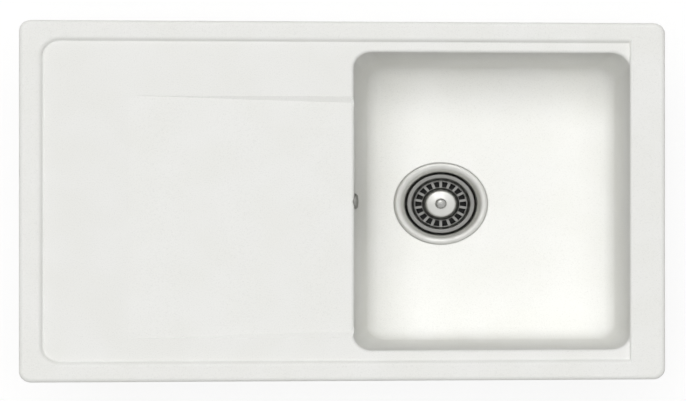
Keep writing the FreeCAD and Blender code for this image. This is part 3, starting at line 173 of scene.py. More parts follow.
def spun_stainless_steel(name, centre, roughness, code, highlight_radius=0):
    """Stainless sheet spun about an axis: satin, with fine tool rings, and within a radius of the axis a
    lighter colour that is a painted highlight.
    """
    material, tree, place = start_material(name)
    ring_width, smudge_size = 0.5 * MM, 9 * MM
    local = add_node(
        tree, "ShaderNodeMapping",
        {"Vector": (place, "Object"), "Location": [-value for value in centre]},
    )
    flat = add_node(tree, "ShaderNodeVectorMath", {0: (local, "Vector"), 1: (1, 1, 0)}, operation="MULTIPLY")
    radius = add_node(tree, "ShaderNodeVectorMath", {0: (flat, "Vector")}, operation="LENGTH")
    height = add_node(tree, "ShaderNodeSeparateXYZ", {"Vector": (local, "Vector")})
    rings = add_node(tree, "ShaderNodeCombineXYZ", {"X": (radius, "Value"), "Z": (height, "Z")})
    marks = add_node(
        tree, "ShaderNodeTexNoise",
        {"Vector": (rings, "Vector"), "Scale": 1 / ring_width, "Detail": 3, "Roughness": 0.6},
    )
    smudge = add_node(
        tree, "ShaderNodeTexNoise",
        {"Vector": (local, "Vector"), "Scale": 1 / smudge_size, "Detail": 2},
    )
    shine = add_node(
        tree, "ShaderNodeMapRange",
        {"Value": (smudge, "Fac"), "From Min": 0.3, "From Max": 0.7,
         "To Min": roughness - 0.05, "To Max": roughness + 0.07},
    )
    # Within the highlight radius a lighter colour is painted on as a painted highlight for the domed middle;
    # the roughness stays the same.
    painted_highlight = add_node(
        tree, "ShaderNodeMapRange",
        {"Value": (radius, "Value"), "From Min": highlight_radius - MM, "From Max": highlight_radius + MM,
         "To Min": 1, "To Max": 0},
    )
    colour = add_node(
        tree, "ShaderNodeMix",
        {"Factor": (painted_highlight, "Result"), "A": linear_colour(code), "B": linear_colour("#D2D2CE")},
        data_type="RGBA",
    )
    bump = add_node(
        tree, "ShaderNodeBump", {"Height": (marks, "Fac"), "Strength": 0.15, "Distance": 0.02 * MM}
    )
    shader = add_node(
        tree, "ShaderNodeBsdfPrincipled",
        {
            "Base Color": (colour, "Result"),
            "Metallic": 1,
            "Roughness": (shine, "Result"),
            "Normal": (bump, "Normal"),
        },
    )
    finish_material(tree, shader)
    return material


def zinc_plated_steel():
    """Mild steel with bright zinc plate: bluish, a little cloudy, with faint crystals."""
    material, tree, place = start_material("zinc_plated_steel")
    crystal_size, cloud_size = 2.2 * MM, 7 * MM
    crystals = add_node(
        tree, "ShaderNodeTexVoronoi", {"Vector": (place, "Object"), "Scale": 1 / crystal_size}
    )
    cloud = add_node(
        tree, "ShaderNodeTexNoise", {"Vector": (place, "Object"), "Scale": 1 / cloud_size, "Detail": 3}
    )
    colour = colour_ramp(tree, (cloud, "Fac"), [(0.3, "#AEB3B8"), (0.55, "#C3C7CA"), (0.75, "#C9C7BC")])
    shine = add_node(
        tree, "ShaderNodeMapRange",
        {"Value": (crystals, "Color"), "To Min": 0.26, "To Max": 0.42},
    )
    shader = add_node(
        tree, "ShaderNodeBsdfPrincipled",
        {"Base Color": (colour, "Color"), "Metallic": 1, "Roughness": (shine, "Result")},
    )
    finish_material(tree, shader)
    return material


def machined_brass():
    """Brass turned on a lathe: yellow, fairly bright, with fine tool marks."""
    material, tree, place = start_material("machined_brass")
    mark_size = 0.6 * MM
    marks = add_node(
        tree, "ShaderNodeTexNoise", {"Vector": (place, "Object"), "Scale": 1 / mark_size, "Detail": 2}
    )
    colour = colour_ramp(tree, (marks, "Fac"), [(0.3, "#B8954C"), (0.7, "#CFAE66")])
    shader = add_node(
        tree, "ShaderNodeBsdfPrincipled",
        {"Base Color": (colour, "Color"), "Metallic": 1, "Roughness": 0.3},
    )
    finish_material(tree, shader)
    return material


def moulded_plastic(name, codes, roughness, texture_size, height):
    """Injection moulded plastic: an even colour with the fine spark-eroded texture of its mould."""
    material, tree, place = start_material(name)
    flow_size = 18 * MM
    texture = add_node(
        tree, "ShaderNodeTexNoise",
        {"Vector": (place, "Object"), "Scale": 1 / texture_size, "Detail": 2},
    )
    flow = add_node(
        tree, "ShaderNodeTexNoise", {"Vector": (place, "Object"), "Scale": 1 / flow_size, "Detail": 2}
    )
    colour = colour_ramp(tree, (flow, "Fac"), [(0.3, codes[0]), (0.7, codes[1])])
    shine = add_node(
        tree, "ShaderNodeMapRange",
        {"Value": (flow, "Fac"), "From Min": 0.3, "From Max": 0.7,
         "To Min": roughness - 0.05, "To Max": roughness + 0.05},
    )
    bump = add_node(
        tree, "ShaderNodeBump", {"Height": (texture, "Fac"), "Strength": 0.3, "Distance": height}
    )
    shader = add_node(
        tree, "ShaderNodeBsdfPrincipled",
        {
            "Base Color": (colour, "Color"),
            "Roughness": (shine, "Result"),
            "Normal": (bump, "Normal"),
            "IOR": 1.49,
        },
    )
    finish_material(tree, shader)
    return material


def start_outline(name, across, up):
    """A new mesh of one point, in edit mode, ready to be drawn on in the XZ plane."""
    bpy.ops.object.select_all(action="DESELECT")
    bpy.ops.mesh.primitive_plane_add(size=MM, location=(0, 0, 0))
    piece = bpy.context.object
    piece.name = name
    bpy.ops.object.mode_set(mode="EDIT")
    bpy.ops.mesh.merge(type="CENTER")
    bpy.ops.transform.translate(value=(across * MM, 0, up * MM))
    return piece


def select_points(piece, chosen):
    """Selects in edit mode the points whose place in millimetres passes a test, and nothing else."""
    bpy.ops.mesh.select_all(action="DESELECT")
    bpy.ops.object.mode_set(mode="OBJECT")
    for point in piece.data.vertices:
        point.select = chosen(point.co / MM)
    bpy.ops.object.mode_set(mode="EDIT")


def close_mesh():
    """Merges doubles and turns the faces outwards, then leaves edit mode."""
    bpy.ops.mesh.select_all(action="SELECT")
    bpy.ops.mesh.remove_doubles(threshold=SEAM)
    bpy.ops.mesh.normals_make_consistent(inside=False)
    bpy.ops.object.mode_set(mode="OBJECT")


def turn_on_axis(name, outline, steps=96):
    """A piece spun about the Z axis from corners of (radius, height, rounding) in millimetres."""
    radius, height, _ = outline[0]
    piece = start_outline(name, radius, height)
    for before, corner in zip(outline, outline[1:]):
        step = ((corner[0] - before[0]) * MM, 0, (corner[1] - before[1]) * MM)
        bpy.ops.mesh.extrude_vertices_move(TRANSFORM_OT_translate={"value": step})
    for rounding in sorted({corner[2] for corner in outline if corner[2]}):
        spots = [Vector((corner[0], 0, corner[1])) for corner in outline if corner[2] == rounding]
        select_points(piece, lambda place: any((place - spot).length < CLOSE for spot in spots))
        bpy.ops.mesh.bevel(
            offset=rounding * MM, offset_type="OFFSET", segments=ROUND_SEGMENTS, affect="VERTICES"
        )
    bpy.ops.mesh.select_all(action="SELECT")
    bpy.ops.mesh.spin(steps=steps, angle=math.tau, center=(0, 0, 0), axis=(0, 0, 1))
    close_mesh()
    return piece


def cut_away(piece, cutter):
    """Takes a cutter's shape out of a piece and throws the cutter away."""
    bpy.context.view_layer.objects.active = piece
    modifier = piece.modifiers.new("cut", "BOOLEAN")
    modifier.object = cutter
    modifier.operation = "DIFFERENCE"
    modifier.solver = "EXACT"
    modifier.use_self = True
    bpy.ops.object.modifier_apply(modifier=modifier.name)
    bpy.data.objects.remove(cutter)


def weld_on(piece, *others):
    """Joins other closed pieces into one."""
    bpy.ops.object.select_all(action="DESELECT")
    for part in (piece, *others):
        part.select_set(True)
    bpy.context.view_layer.objects.active = piece
    bpy.ops.object.join()


def set_down(piece, place, tilt=0, heading=0):
    """Tilts a piece about the Y axis, turns it about the Z axis and moves it, all in its mesh."""
    bpy.ops.object.select_all(action="DESELECT")
    piece.select_set(True)
    bpy.context.view_layer.objects.active = piece
    piece.rotation_euler = (0, math.radians(tilt), math.radians(heading))
    piece.location = place
    bpy.ops.object.transform_apply(location=True, rotation=True, scale=True)


def copy_of(piece, name):
    copied = bpy.data.objects.new(name, piece.data.copy())
    bpy.context.scene.collection.objects.link(copied)
    return copied


def hand_over(piece, material, body, slot, *nodes, corner=35):
    """Shades a finished piece, gives it its material and lets it stand for its nodes."""
    bpy.ops.object.select_all(action="DESELECT")
    piece.select_set(True)
    bpy.context.view_layer.objects.active = piece
    bpy.ops.object.shade_smooth_by_angle(angle=math.radians(corner))
    weighted = piece.modifiers.new("weighted", "WEIGHTED_NORMAL")
    weighted.keep_sharp = True
    bpy.ops.object.modifier_apply(modifier=weighted.name)
    piece.data.materials.clear()
    piece.data.materials.append(material)
    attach(piece, body)
    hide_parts(*nodes)


def ring_of_pegs(name, radius, circle, count, foot, top):
    """Round pegs that stand evenly on a circle, to cut holes with."""
    bpy.ops.object.select_all(action="DESELECT")
    bpy.ops.mesh.primitive_cylinder_add(
        vertices=PEG_SIDES, radius=radius * MM, depth=(top - foot) * MM,
        location=(circle * MM, 0, (top + foot) / 2 * MM),
    )
    pegs = bpy.context.object
    pegs.name = name
    bpy.ops.object.transform_apply(location=True, rotation=True, scale=True)
    bpy.ops.object.mode_set(mode="EDIT")
    bpy.ops.mesh.select_all(action="SELECT")
    spin_copies(count)
    bpy.ops.object.mode_set(mode="OBJECT")
    return pegs


def spin_copies(count):
    """In edit mode, repeats what is selected evenly round the Z axis."""
    bpy.ops.mesh.spin(
        steps=count - 1, dupli=True, angle=math.tau * (count - 1) / count, center=(0, 0, 0), axis=(0, 0, 1)
    )


def wedge(name, near, far, foot, top, near_width, far_width, far_foot=None):
    """A block along X whose far end may be wider, and may stop higher, than its near end."""
    bpy.ops.object.select_all(action="DESELECT")
    bpy.ops.mesh.primitive_cube_add(size=MM, location=(0, 0, 0))
    block = bpy.context.object
    block.name = name
    block.scale = (far - near, near_width, top - foot)
    block.location = ((near + far) / 2 * MM, 0, (foot + top) / 2 * MM)
    bpy.ops.object.transform_apply(location=True, rotation=True, scale=True)
    bpy.ops.object.mode_set(mode="EDIT")
    middle = (near + far) / 2
    select_points(block, lambda place: place.x > middle)
    bpy.ops.transform.resize(value=(1, far_width / near_width, 1))
    if far_foot is not None:
        select_points(block, lambda place: place.x > middle and place.z < (foot + top) / 2)
        bpy.ops.transform.translate(value=(0, 0, (far_foot - foot) * MM))
    return block


def soften_and_repeat(block, corner, count):
    """In edit mode, breaks a block's corners and repeats it round the Z axis, then leaves edit mode."""
    select_points(block, lambda place: True)
    bpy.ops.mesh.bevel(offset=corner * MM, segments=2, affect="EDGES")
    bpy.ops.mesh.select_all(action="SELECT")
    spin_copies(count)
    bpy.ops.object.mode_set(mode="OBJECT")


def cut_thread(name, root, crest, pitch, foot, length, steps):
    """A screw thread as a closed helical ridge about the Z axis, sunk a little into its core."""
    land_share, base_share, sunk_share = 0.08, 0.46, 0.1
    turns = int(length / pitch) - 1
    land = pitch * land_share
    base = pitch * base_share
    inside = root - pitch * sunk_share
    ridge = start_outline(name, inside, foot + 2 * base)
    corners = [(inside, -base), (crest, -land), (crest, land), (inside, base)]
    for before, corner in zip([corners[-1], *corners], corners):
        step = ((corner[0] - before[0]) * MM, 0, (corner[1] - before[1]) * MM)
        bpy.ops.mesh.extrude_vertices_move(TRANSFORM_OT_translate={"value": step})
    bpy.ops.mesh.select_all(action="SELECT")
    bpy.ops.mesh.remove_doubles(threshold=SEAM)
    bpy.ops.object.mode_set(mode="OBJECT")
    screw = ridge.modifiers.new("screw", "SCREW")
    screw.axis = "Z"
    screw.steps = screw.render_steps = steps
    screw.iterations = turns
    screw.screw_offset = pitch * MM
    screw.use_merge_vertices = True
    bpy.ops.object.modifier_apply(modifier=screw.name)
    bpy.ops.object.mode_set(mode="EDIT")
    bpy.ops.mesh.select_all(action="SELECT")
    bpy.ops.mesh.fill_holes(sides=8)
    close_mesh()
    return ridge


def soften_copy(name, width, segments=2):
    """A copy of a node with its corners broken, as a mould or a tumbling drum leaves them."""
    flat_angle, corner_angle = 1, 40
    piece = copy_of(NODES[name], f"{name}_softened")
    bpy.ops.object.select_all(action="DESELECT")
    piece.select_set(True)
    bpy.context.view_layer.objects.active = piece
    bpy.ops.mesh.customdata_custom_splitnormals_clear()
    bpy.ops.object.mode_set(mode="EDIT")
    bpy.ops.mesh.select_all(action="SELECT")
    bpy.ops.mesh.remove_doubles(threshold=SEAM)
    bpy.ops.mesh.dissolve_limited(angle_limit=math.radians(flat_angle))
    bpy.ops.object.mode_set(mode="OBJECT")
    bevel = piece.modifiers.new("soften", "BEVEL")
    bevel.width = width * MM
    bevel.segments = segments
    bevel.limit_method = "ANGLE"
    bevel.angle_limit = math.radians(corner_angle)
    bpy.ops.object.modifier_apply(modifier=bevel.name)
    return piece


def make_flange(steel):
    """The flange with its cup, pressed in one: a crowned ring that rolls over into the throat."""
    edge, crown, inner, throat, taper, cup, bolt_hole = 57.5, 52.5, 47.4, 44, 38.5, 34.5, 6.2
    thickness = CUP_THICKNESS
    edge_foot, edge_top, crown_top = -1.3, -0.1, 2.1
    roll_top, roll_foot, roll_back, fold_foot = -1.1, -3.1, -3.9, -2.3
    taper_top, taper_foot = -11, -34
    overrun = 2
    flange = turn_on_axis(
        "strainer_flange_pressed",
        [
            (edge, edge_foot, 0),
            (edge, edge_top, 0.5),
            (crown, crown_top, 4.4),
            (inner, roll_top, 1.2),
            (throat + 0.2, roll_foot, 2),
            (throat, taper_top, 4),
            (taper, taper_foot, 2.6),
            (cup, CUP_FLOOR, 2.4),
            (bolt_hole, CUP_FLOOR, 0),
            (bolt_hole, CUP_FLOOR - thickness, 0),
            (cup + thickness / 2, CUP_FLOOR - thickness, 2.4),
            (taper + thickness, taper_foot, 2.6),
            (throat + thickness, taper_top, 4),
            (throat + thickness, roll_back, 1.5),
            (inner, fold_foot, 0.3),
            (inner, edge_foot, 0.3),
            (edge, edge_foot, 0),
        ],
        steps=128,
    )
    holes = ring_of_pegs(
        "cup_holes", radius=4, circle=17, count=8, foot=-CUP_DEPTH - overrun, top=CUP_FLOOR + overrun
    )
    cut_away(flange, holes)
    set_down(flange, DRAIN)
    hand_over(flange, steel, "sink", "stainless_steel", "strainer_flange")


def make_basket_pan(steel):
    """The pressed pan: a flat rim, a slotted floor and a domed middle with a hole for the stem."""
    rim, rim_inner, foot, hub, shoulder, land, hole = 41.5, 35.5, 33.9, 21.6, 19.5, 8.5, 4
    rim_top, skirt_foot, floor = -5.5, -8.1, -23
    shoulder_top, shoulder_underside, middle_top = -6.9, -7.7, -5.6
    thickness = 0.9
    slot_count = 18
    pan = turn_on_axis(
        "basket_pan_pressed",
        [
            (rim, skirt_foot, 0),
            (rim, rim_top, 1.1),
            (rim_inner, rim_top, 1.7),
            (foot, floor, 2.4),
            (hub, floor, 2.2),
            (shoulder, shoulder_top, 3.2),
            (land, middle_top, 1.5),
            (hole, middle_top, 0),
            (hole, middle_top - thickness, 0),
            (land, middle_top - thickness, 1.5),
            (shoulder - thickness, shoulder_underside, 2.4),
            (hub - thickness, floor - thickness, 1.4),
            (foot + thickness, floor - thickness, 1.6),
            (rim_inner + thickness, rim_top - thickness, 0.8),
            (rim - thickness, rim_top - thickness, 0.4),
            (rim - thickness, skirt_foot, 0),
            (rim, skirt_foot, 0),
        ],
        steps=144,
    )
    slots = wedge(
        "basket_slots", near=23.4, far=31.8, foot=floor - 3, top=floor + 2, near_width=5, far_width=7.6
    )
    select_points(slots, lambda place: True)
    spin_copies(slot_count)
    bpy.ops.object.mode_set(mode="OBJECT")
    cut_away(pan, slots)
    set_down(pan, DRAIN)
    hand_over(pan, steel, "strainer", "stainless_steel", "basket_pan")


def make_basket_knob(steel):
    """The small knob with its waist, and below the pan the sleeve and the stem with the clip's groove."""
    waist, sleeve, stem, groove, tip = 4.6, 6, 3.8, 3.2, 2.8
    pan_top, pan_underside = -5.6, -6.5
    sleeve_foot, groove_top, groove_foot, stem_foot, tip_foot = -30, -34, -34.8, -44.6, -46
    knob = turn_on_axis(
        "basket_knob_turned",
        [
            (0, 1.6, 0),
            (5.4, 1.2, 2.4),
            (7.3, -0.5, 0.8),
            (waist, -2.6, 1),
            (waist, pan_top, 0),
            (stem, pan_top, 0),
            (stem, pan_underside, 0),
            (sleeve, pan_underside, 0.4),
            (sleeve, sleeve_foot, 0.4),
            (stem, sleeve_foot, 0),
            (stem, groove_top, 0),
            (groove, groove_top, 0),
            (groove, groove_foot, 0),
            (stem, groove_foot, 0.2),
            (stem, stem_foot, 0.5),
            (tip, tip_foot, 0.5),
            (0, tip_foot, 0),
        ],
        steps=64,
    )
    set_down(knob, DRAIN)
    hand_over(knob, steel, "strainer", "stainless_steel", "basket_knob")


def make_plug_seal(rubber):
    """The rubber plug under the basket, with a lip that hangs round its edge."""
    bore, shoulder, edge, lip, hollow = 3.9, 25, 31, 27.5, 26.5
    top, edge_top, underside, lip_foot = -30, -31.5, -33, -37.7
    plug = turn_on_axis(
        "plug_seal_moulded",
        [
            (bore, underside, 0),
            (bore, top, 0.3),
            (shoulder, top, 1.5),
            (edge, edge_top, 0.8),
            (edge, lip_foot, 0.6),
            (lip, lip_foot, 0.6),
            (hollow, underside, 1.2),
            (bore, underside, 0),
        ],
        steps=96,
    )
    set_down(plug, DRAIN)
    hand_over(plug, rubber, "strainer", "black_rubber", "plug_seal")


def make_centre_bolt(steel):
    """The hollow bolt in the cup's floor, with two slots for a flat key across its head."""
    bore, head, core, crest = 4.1, 9, 5.1, 5.95
    bore_floor, head_top, core_foot, tip = -50, -36, -65.2, -66
    keyway_width, keyway_floor = 2, -36.9
    overrun = 1
    bolt = turn_on_axis(
        "centre_bolt_turned",
        [
            (0, bore_floor, 0),
            (bore, bore_floor, 0.3),
            (bore, head_top, 0.4),
            (head, head_top, 0.8),
            (head, CUP_FLOOR, 0),
            (core, CUP_FLOOR, 0),
            (core, core_foot, 0.6),
            (0, tip, 0),
        ],
        steps=64,
    )
    keyway = wedge(
        "bolt_keyway", near=-head - overrun, far=head + overrun, foot=keyway_floor,
        top=head_top + overrun, near_width=keyway_width, far_width=keyway_width,
    )
    bpy.ops.object.mode_set(mode="OBJECT")
    cut_away(bolt, keyway)
    thread = cut_thread("bolt_thread", core, crest, pitch=1.75, foot=-65.4, length=25, steps=32)
    weld_on(bolt, thread)
    set_down(bolt, DRAIN)
    hand_over(bolt, steel, "sink", "stainless_steel", "centre_bolt")


def make_waste_body(plastic):
    """The moulded waste: chamber with gussets, funnel, threaded outlet, overflow spigot and spider."""
    chamber, outside, flange, bore, thread = 47, 50.5, 58, 19.5, 23.9
    root = thread - 1.45
    top, flange_foot, chamber_foot, funnel_foot, outlet_foot = -12, -16, -44, -60, -88
    funnel_top, funnel_end, collar_foot, root_top = -46.2, -63, -65.6, -66
    waste = turn_on_axis(
        "waste_body_moulded",
        [
            (chamber, top, 0.3),
            (chamber, chamber_foot, 3),
            (bore, funnel_foot, 4),
            (bore, outlet_foot, 0.6),
            (root, outlet_foot, 0.8),
            (root, root_top, 0),
            (thread, collar_foot, 0.3),
            (thread, funnel_end, 2),
            (outside, funnel_top, 4),
            (outside, flange_foot, 1.2),
            (flange, flange_foot, 0.8),
            (flange, top, 0.5),
            (chamber, top, 0.3),
        ],
    )

    port, spigot, socket = 10.5, 16, 12.9
    spigot_level, spigot_root, socket_floor, spigot_end = -30, 47.2, 58, 80
    port_cutter = ring_of_pegs("overflow_port", radius=port, circle=0, count=1, foot=-60, top=-40)
    set_down(port_cutter, (0, 0, spigot_level * MM), tilt=90)
    cut_away(waste, port_cutter)

    gussets = wedge(
        "waste_gussets", near=outside - 1, far=flange - 1.5, foot=-30, top=flange_foot + 1,
        near_width=3, far_width=2.4, far_foot=flange_foot - 1,
    )
    soften_and_repeat(gussets, corner=0.5, count=8)

    branch = turn_on_axis(
        "overflow_spigot",
        [
            (port, spigot_root, 0),
            (spigot, spigot_root, 0),
            (spigot, spigot_end, 0.8),
            (socket, spigot_end, 0.6),
            (socket, socket_floor, 0.3),
            (port, socket_floor, 0.4),
            (port, spigot_root, 0),
        ],
        steps=64,
    )
    set_down(branch, (0, 0, spigot_level * MM), tilt=-90)

    boss_bore, nut_pocket, boss_outside = 6.2, 9.6, 12.5
    boss_top, pocket_top, boss_foot = -47, -53.8, -62
    boss = turn_on_axis(
        "spider_boss",
        [
            (boss_bore, boss_top, 0),
            (boss_outside, boss_top, 0.8),
            (boss_outside, boss_foot, 0.8),
            (nut_pocket, boss_foot, 0.3),
            (nut_pocket, pocket_top, 0),
            (boss_bore, pocket_top, 0),
            (boss_bore, boss_top, 0),
        ],
        steps=64,
    )
    arms = wedge(
        "spider_arms", near=10, far=45, foot=boss_foot + 1, top=boss_top,
        near_width=4, far_width=4, far_foot=boss_top - 2,
    )
    soften_and_repeat(arms, corner=0.6, count=3)

    screwed = cut_thread("outlet_thread", root, thread, pitch=2.31, foot=-87.6, length=22, steps=64)
    weld_on(waste, gussets, branch, boss, arms, screwed)
    set_down(waste, DRAIN)
    hand_over(waste, plastic, "sink", "white_plastic", "waste_body")


def make_overflow_rose(steel):
    """The pressed cover of the overflow in the bowl's wall: a low dome with holes, on a neck."""
    neck_bore, neck, dome, cover, hole = 6.7, 7.7, 8.6, 11, 1.3
    neck_foot, cover_foot, edge_top, dome_edge, dome_top = -10, 1, 4.8, 7.3, 8
    hollow_edge, hollow_top = 6.1, 6.8
    rose = turn_on_axis(
        "overflow_rose_pressed",
        [
            (0, hollow_top, 0),
            (neck_bore, hollow_edge, 1),
            (neck_bore, neck_foot, 0),
            (neck, neck_foot, 0.3),
            (neck, cover_foot, 0),
            (cover, cover_foot, 0.4),
            (cover, edge_top, 1.2),
            (dome, dome_edge, 1.8),
            (0, dome_top, 0),
        ],
        steps=64,
    )
    cut_away(rose, ring_of_pegs("rose_middle_hole", hole, circle=0, count=1, foot=0, top=dome_top))
    cut_away(rose, ring_of_pegs("rose_holes", hole, circle=4.2, count=6, foot=0, top=dome_top))
    rose_low, rose_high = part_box("overflow_rose")
    seat = Vector((rose_low.x - neck_foot * MM, 0, (rose_low.z + rose_high.z) / 2))
    set_down(rose, seat, tilt=90)
    hand_over(rose, steel, "sink", "stainless_steel", "overflow_rose")


def make_overflow_tail(plastic):
    """The threaded tail under the overflow's duct: a plug, a collar and a socket for the pipe."""
    bore, plug, socket, thread, collar = 9, 10.85, 12.9, 16, 16.5
    root = thread - 1.1
    socket_floor, root_top, thread_top, collar_foot, collar_top, plug_top = 11, 16, 16.4, 17, 21, 36.5
    tail = turn_on_axis(
        "overflow_tail_moulded",
        [
            (bore, plug_top, 0.3),
            (bore, socket_floor, 0),
            (socket, socket_floor, 0.3),
            (socket, 0, 0.5),
            (root, 0, 0.7),
            (root, root_top, 0),
            (thread, thread_top, 0.2),
            (thread, collar_foot, 0),
            (collar, collar_foot, 0.4),
            (collar, collar_top, 0.4),
            (plug, collar_top, 0),
            (plug, plug_top, 0.5),
            (bore, plug_top, 0.3),
        ],
        steps=64,
    )
    screwed = cut_thread("tail_thread", root, thread, pitch=2.5, foot=0.4, length=16, steps=48)
    weld_on(tail, screwed)
    tail_low, tail_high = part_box("overflow_tail")
    middle = (tail_low + tail_high) / 2
    set_down(tail, Vector((middle.x, middle.y, tail_low.z)))
    hand_over(tail, plastic, "sink", "white_plastic", "overflow_tail")


def make_clip_fasteners(zinc):
    """A threaded stud and two cross recessed screws at each clip, modelled once and copied."""
    crest, pitch, length = 3, 1, 64
    root = crest - 0.58
    plain_foot, root_top, tip = -3, -3.5, 0.2
    stud = turn_on_axis(
        "stud_pattern",
        [
            (0, 0, 0),
            (crest, 0, 0),
            (crest, plain_foot, 0.3),
            (root, root_top, 0),
            (root, -length + tip, 0.6),
            (0, -length, 0),
        ],
        steps=32,
    )
    thread = cut_thread("stud_thread", root, crest, pitch, foot=-length + 0.6, length=length - 4, steps=20)
    weld_on(stud, thread)

    shank, crown, head = 2, 2.5, 3.8
    reach, head_edge, head_height = 7, -1.1, -2.4
    recess_length, recess_width, recess_floor = 4, 0.9, -1
    screw = turn_on_axis(
        "screw_pattern",
        [
            (0, reach, 0),
            (shank, reach, 0.5),
            (shank, 0, 0),
            (head, 0, 0.2),
            (head, head_edge, 0.8),
            (crown, head_height, 1),
            (0, head_height, 0),
        ],
        steps=40,
    )
    for heading in (45, 135):
        slot = wedge(
            "recess", near=-recess_length / 2, far=recess_length / 2, foot=-3, top=recess_floor,
            near_width=recess_width, far_width=recess_width,
        )
        bpy.ops.object.mode_set(mode="OBJECT")
        set_down(slot, (0, 0, 0), heading=heading)
        cut_away(screw, slot)

    # The screws stand either side of the stud, and each stops at a turn of its own.
    spread = 14 * MM
    clip_turn, screw_turn = 37, 20
    for number in range(1, 7):
        low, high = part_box(f"clip_bracket_{number}")
        middle = Vector(((low.x + high.x) / 2, (low.y + high.y) / 2, low.z))
        along = Vector((1, 0, 0)) if high.x - low.x > high.y - low.y else Vector((0, 1, 0))
        placed = copy_of(stud, f"clip_stud_{number}")
        set_down(placed, middle)
        hand_over(placed, zinc, "sink", "zinc_plated_steel", "clip_studs")
        for side, letter in ((-1, "a"), (1, "b")):
            placed = copy_of(screw, f"clip_screw_{number}{letter}")
            heading = number * clip_turn + side * screw_turn
            set_down(placed, middle + along * spread * side, heading=heading)
            hand_over(placed, zinc, "sink", "zinc_plated_steel", "clip_screws")
    for pattern in (stud, screw):
        bpy.data.objects.remove(pattern)


def make_clips(zinc, nylon):
    """The brackets, claws and wing nuts, with their corners broken."""
    for number in range(1, 7):
        bracket = soften_copy(f"clip_bracket_{number}", 0.4)
        hand_over(bracket, zinc, "sink", "zinc_plated_steel", f"clip_bracket_{number}")
        claw = soften_copy(f"clip_claw_{number}", 0.35)
        hand_over(claw, zinc, f"claw_{number}", "zinc_plated_steel", f"clip_claw_{number}")
        nut = soften_copy(f"clip_nut_{number}", 0.6, segments=3)
        hand_over(nut, nylon, f"nut_{number}", "nut_plastic", f"clip_nut_{number}")


def make_compression_nuts(plastic):
    for name in ("overflow_nut_upper", "overflow_nut_lower"):
        nut = soften_copy(name, 0.6, segments=3)
        hand_over(nut, plastic, "sink", "white_plastic", name)


def paint(names, material):
    for name in names:
        mesh = NODES[name].data
        mesh.materials.clear()
        mesh.materials.append(material)


def dress_sink():
    """Gives every node its finish, and makes the pieces that stand for nodes."""
    drain = (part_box("strainer_flange")[0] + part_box("strainer_flange")[1]) / 2
    rose_low, rose_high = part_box("overflow_rose")
    granite = cast_granite_composite()
    rubber = moulded_plastic("moulded_nitrile_rubber", ("#161616", "#222221"), 0.7, 0.6 * MM, 0.04 * MM)
    white = moulded_plastic("moulded_polypropylene", ("#E6E6E1", "#EFEFEA"), 0.42, 0.9 * MM, 0.03 * MM)
    nylon = moulded_plastic("glass_filled_nylon", ("#191A1B", "#27282A"), 0.5, 0.7 * MM, 0.05 * MM)
    zinc = zinc_plated_steel()
    brass = machined_brass()
    flange = spun_stainless_steel("spun_stainless_steel", drain, 0.42, "#D4D4D0")
    # The pan's steel is painted darker as painted shade for its deep slotted channel, and its domed middle
    # within 20.5 mm is painted lighter as a painted highlight.
    pan = spun_stainless_steel("pressed_stainless_steel", drain, 0.34, "#8C8C89", 20.5 * MM)
    knob = spun_stainless_steel("turned_stainless_steel", drain, 0.25, "#A9A9A6")
    # The rose's steel is painted dark as painted shade for the recess in the bowl's wall that holds it.
    rose = spun_stainless_steel("rose_stainless_steel", (rose_low + rose_high) / 2, 0.4, "#8A8A86")
    paint(["sink_basin"], granite)
    paint(
        ["rim_seal", "flange_gasket", "under_gasket", "rose_seal", "tail_seal",
         "overflow_seal_upper", "overflow_seal_lower"], rubber,
    )
    paint(["overflow_pipe"], white)
    paint(["clip_inserts", "bolt_nut"], brass)
    paint(["plug_washer", "stem_clip"], knob)
    make_flange(flange)
    make_basket_pan(pan)
    make_basket_knob(knob)
    make_plug_seal(rubber)
    make_centre_bolt(flange)
    make_waste_body(white)
    make_overflow_rose(rose)
    make_overflow_tail(white)
    make_clip_fasteners(zinc)
    make_clips(zinc, nylon)
    make_compression_nuts(white)


def seen_rays(tree):
    """Is 1 for what the camera sees, straight or by way of metal or glass."""
    rays = add_node(tree, "ShaderNodeLightPath")
    seen = add_node(
        tree, "ShaderNodeMath", {0: (rays, "Is Camera Ray"), 1: (rays, "Is Glossy Ray")}, operation="MAXIMUM"
    )
    return add_node(
        tree, "ShaderNodeMath", {0: (seen, "Value"), 1: (rays, "Is Transmission Ray")}, operation="MAXIMUM"
    )


def lay_floor():
    """A pale floor under the sink that reads white, and keeps a soft shadow."""
    glow_share, glow_strength = 0.85, 1.03
    low = cad_box[0]
    bpy.ops.mesh.primitive_plane_add(size=FLOOR_SIZE, location=(0, 0, low.z - FLOOR_GAP))
    floor = bpy.context.object
    floor.name = "floor"
    material, tree, _ = start_material("white_floor")
    seen = add_node(
        tree, "ShaderNodeMath", {0: (seen_rays(tree), "Value"), 1: glow_share}, operation="MULTIPLY"
    )
    matt = add_node(tree, "ShaderNodeBsdfDiffuse", {"Color": linear_colour("#F0F0EE")})
    glow = add_node(tree, "ShaderNodeEmission", {"Color": (1, 1, 1, 1), "Strength": glow_strength})
    mixed = add_node(
        tree, "ShaderNodeMixShader", {"Fac": (seen, "Value"), 1: (matt, "BSDF"), 2: (glow, "Emission")}
    )
    add_node(tree, "ShaderNodeOutputMaterial", {"Surface": (mixed, "Shader")})
    floor.data.materials.append(material)


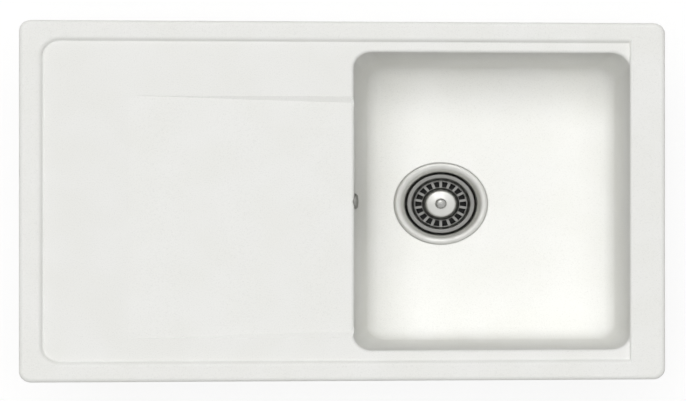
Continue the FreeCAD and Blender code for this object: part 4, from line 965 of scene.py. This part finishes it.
def light_world():
    """An even pale surround that lights softly and shows white."""
    soft_strength, white_strength = 0.12, 1
    world = bpy.data.worlds.new("studio")
    bpy.context.scene.world = world
    world.use_nodes = True
    tree = world.node_tree
    tree.nodes.clear()
    soft = add_node(tree, "ShaderNodeBackground", {"Color": (1, 1, 1, 1), "Strength": soft_strength})
    white = add_node(tree, "ShaderNodeBackground", {"Color": (1, 1, 1, 1), "Strength": white_strength})
    mixed = add_node(
        tree, "ShaderNodeMixShader",
        {"Fac": (seen_rays(tree), "Value"), 1: (soft, "Background"), 2: (white, "Background")},
    )
    add_node(tree, "ShaderNodeOutputWorld", {"Surface": (mixed, "Shader")})


def hang_lamp(name, towards, strength, angle):
    """A distant soft lamp that shines along a direction."""
    lamp = bpy.data.lights.new(name, "SUN")
    lamp.energy = strength
    lamp.angle = math.radians(angle)
    holder = bpy.data.objects.new(name, lamp)
    bpy.context.scene.collection.objects.link(holder)
    holder.rotation_mode = "QUATERNION"
    holder.rotation_quaternion = Vector(towards).to_track_quat("-Z", "Y")
    return holder


def set_camera():
    """Looks down from far off. Slanting the camera's own axes squeezes the picture as the photograph is."""
    data = bpy.data.cameras.new("camera")
    data.lens = CAMERA_LENS
    data.sensor_width = CAMERA_SENSOR
    deck_level = NODES["sink_basin"].bound_box[1][2]
    distance = PHOTO_WIDTH / PHOTO_SQUEEZE * CAMERA_LENS / CAMERA_SENSOR
    data.clip_start = 1
    data.clip_end = distance * 2
    camera = bpy.data.objects.new("camera", data)
    bpy.context.scene.collection.objects.link(camera)
    slant = math.sqrt(1 - PHOTO_SQUEEZE ** 2)
    holder = bpy.data.objects.new("camera_slant", None)
    bpy.context.scene.collection.objects.link(holder)
    camera.parent = holder
    slanted = Matrix(((PHOTO_SQUEEZE, 0, 0, 0), (0, 1, 0, 0), (slant, 0, 1, distance), (0, 0, 0, 1)))
    tilt = Matrix.Rotation(math.radians(PHOTO_TILT), 4, "X")
    aim = Matrix.Translation((*PHOTO_CENTRE, deck_level))
    camera.matrix_parent_inverse = aim @ tilt @ slanted
    bpy.context.scene.camera = camera


bpy.context.scene.view_settings.view_transform = "Standard"
bpy.ops.object.select_all(action="DESELECT")
dress_sink()
lay_floor()
light_world()
# The wide key lamp would wash the steel out, so metal shows only the glint of the weaker one.
key = hang_lamp("key", towards=(0.05, -0.11, -1), strength=2.53, angle=44)
key.visible_glossy = False
hang_lamp("glint", towards=(0.06, -0.34, -1), strength=0.24, angle=20)
set_camera()
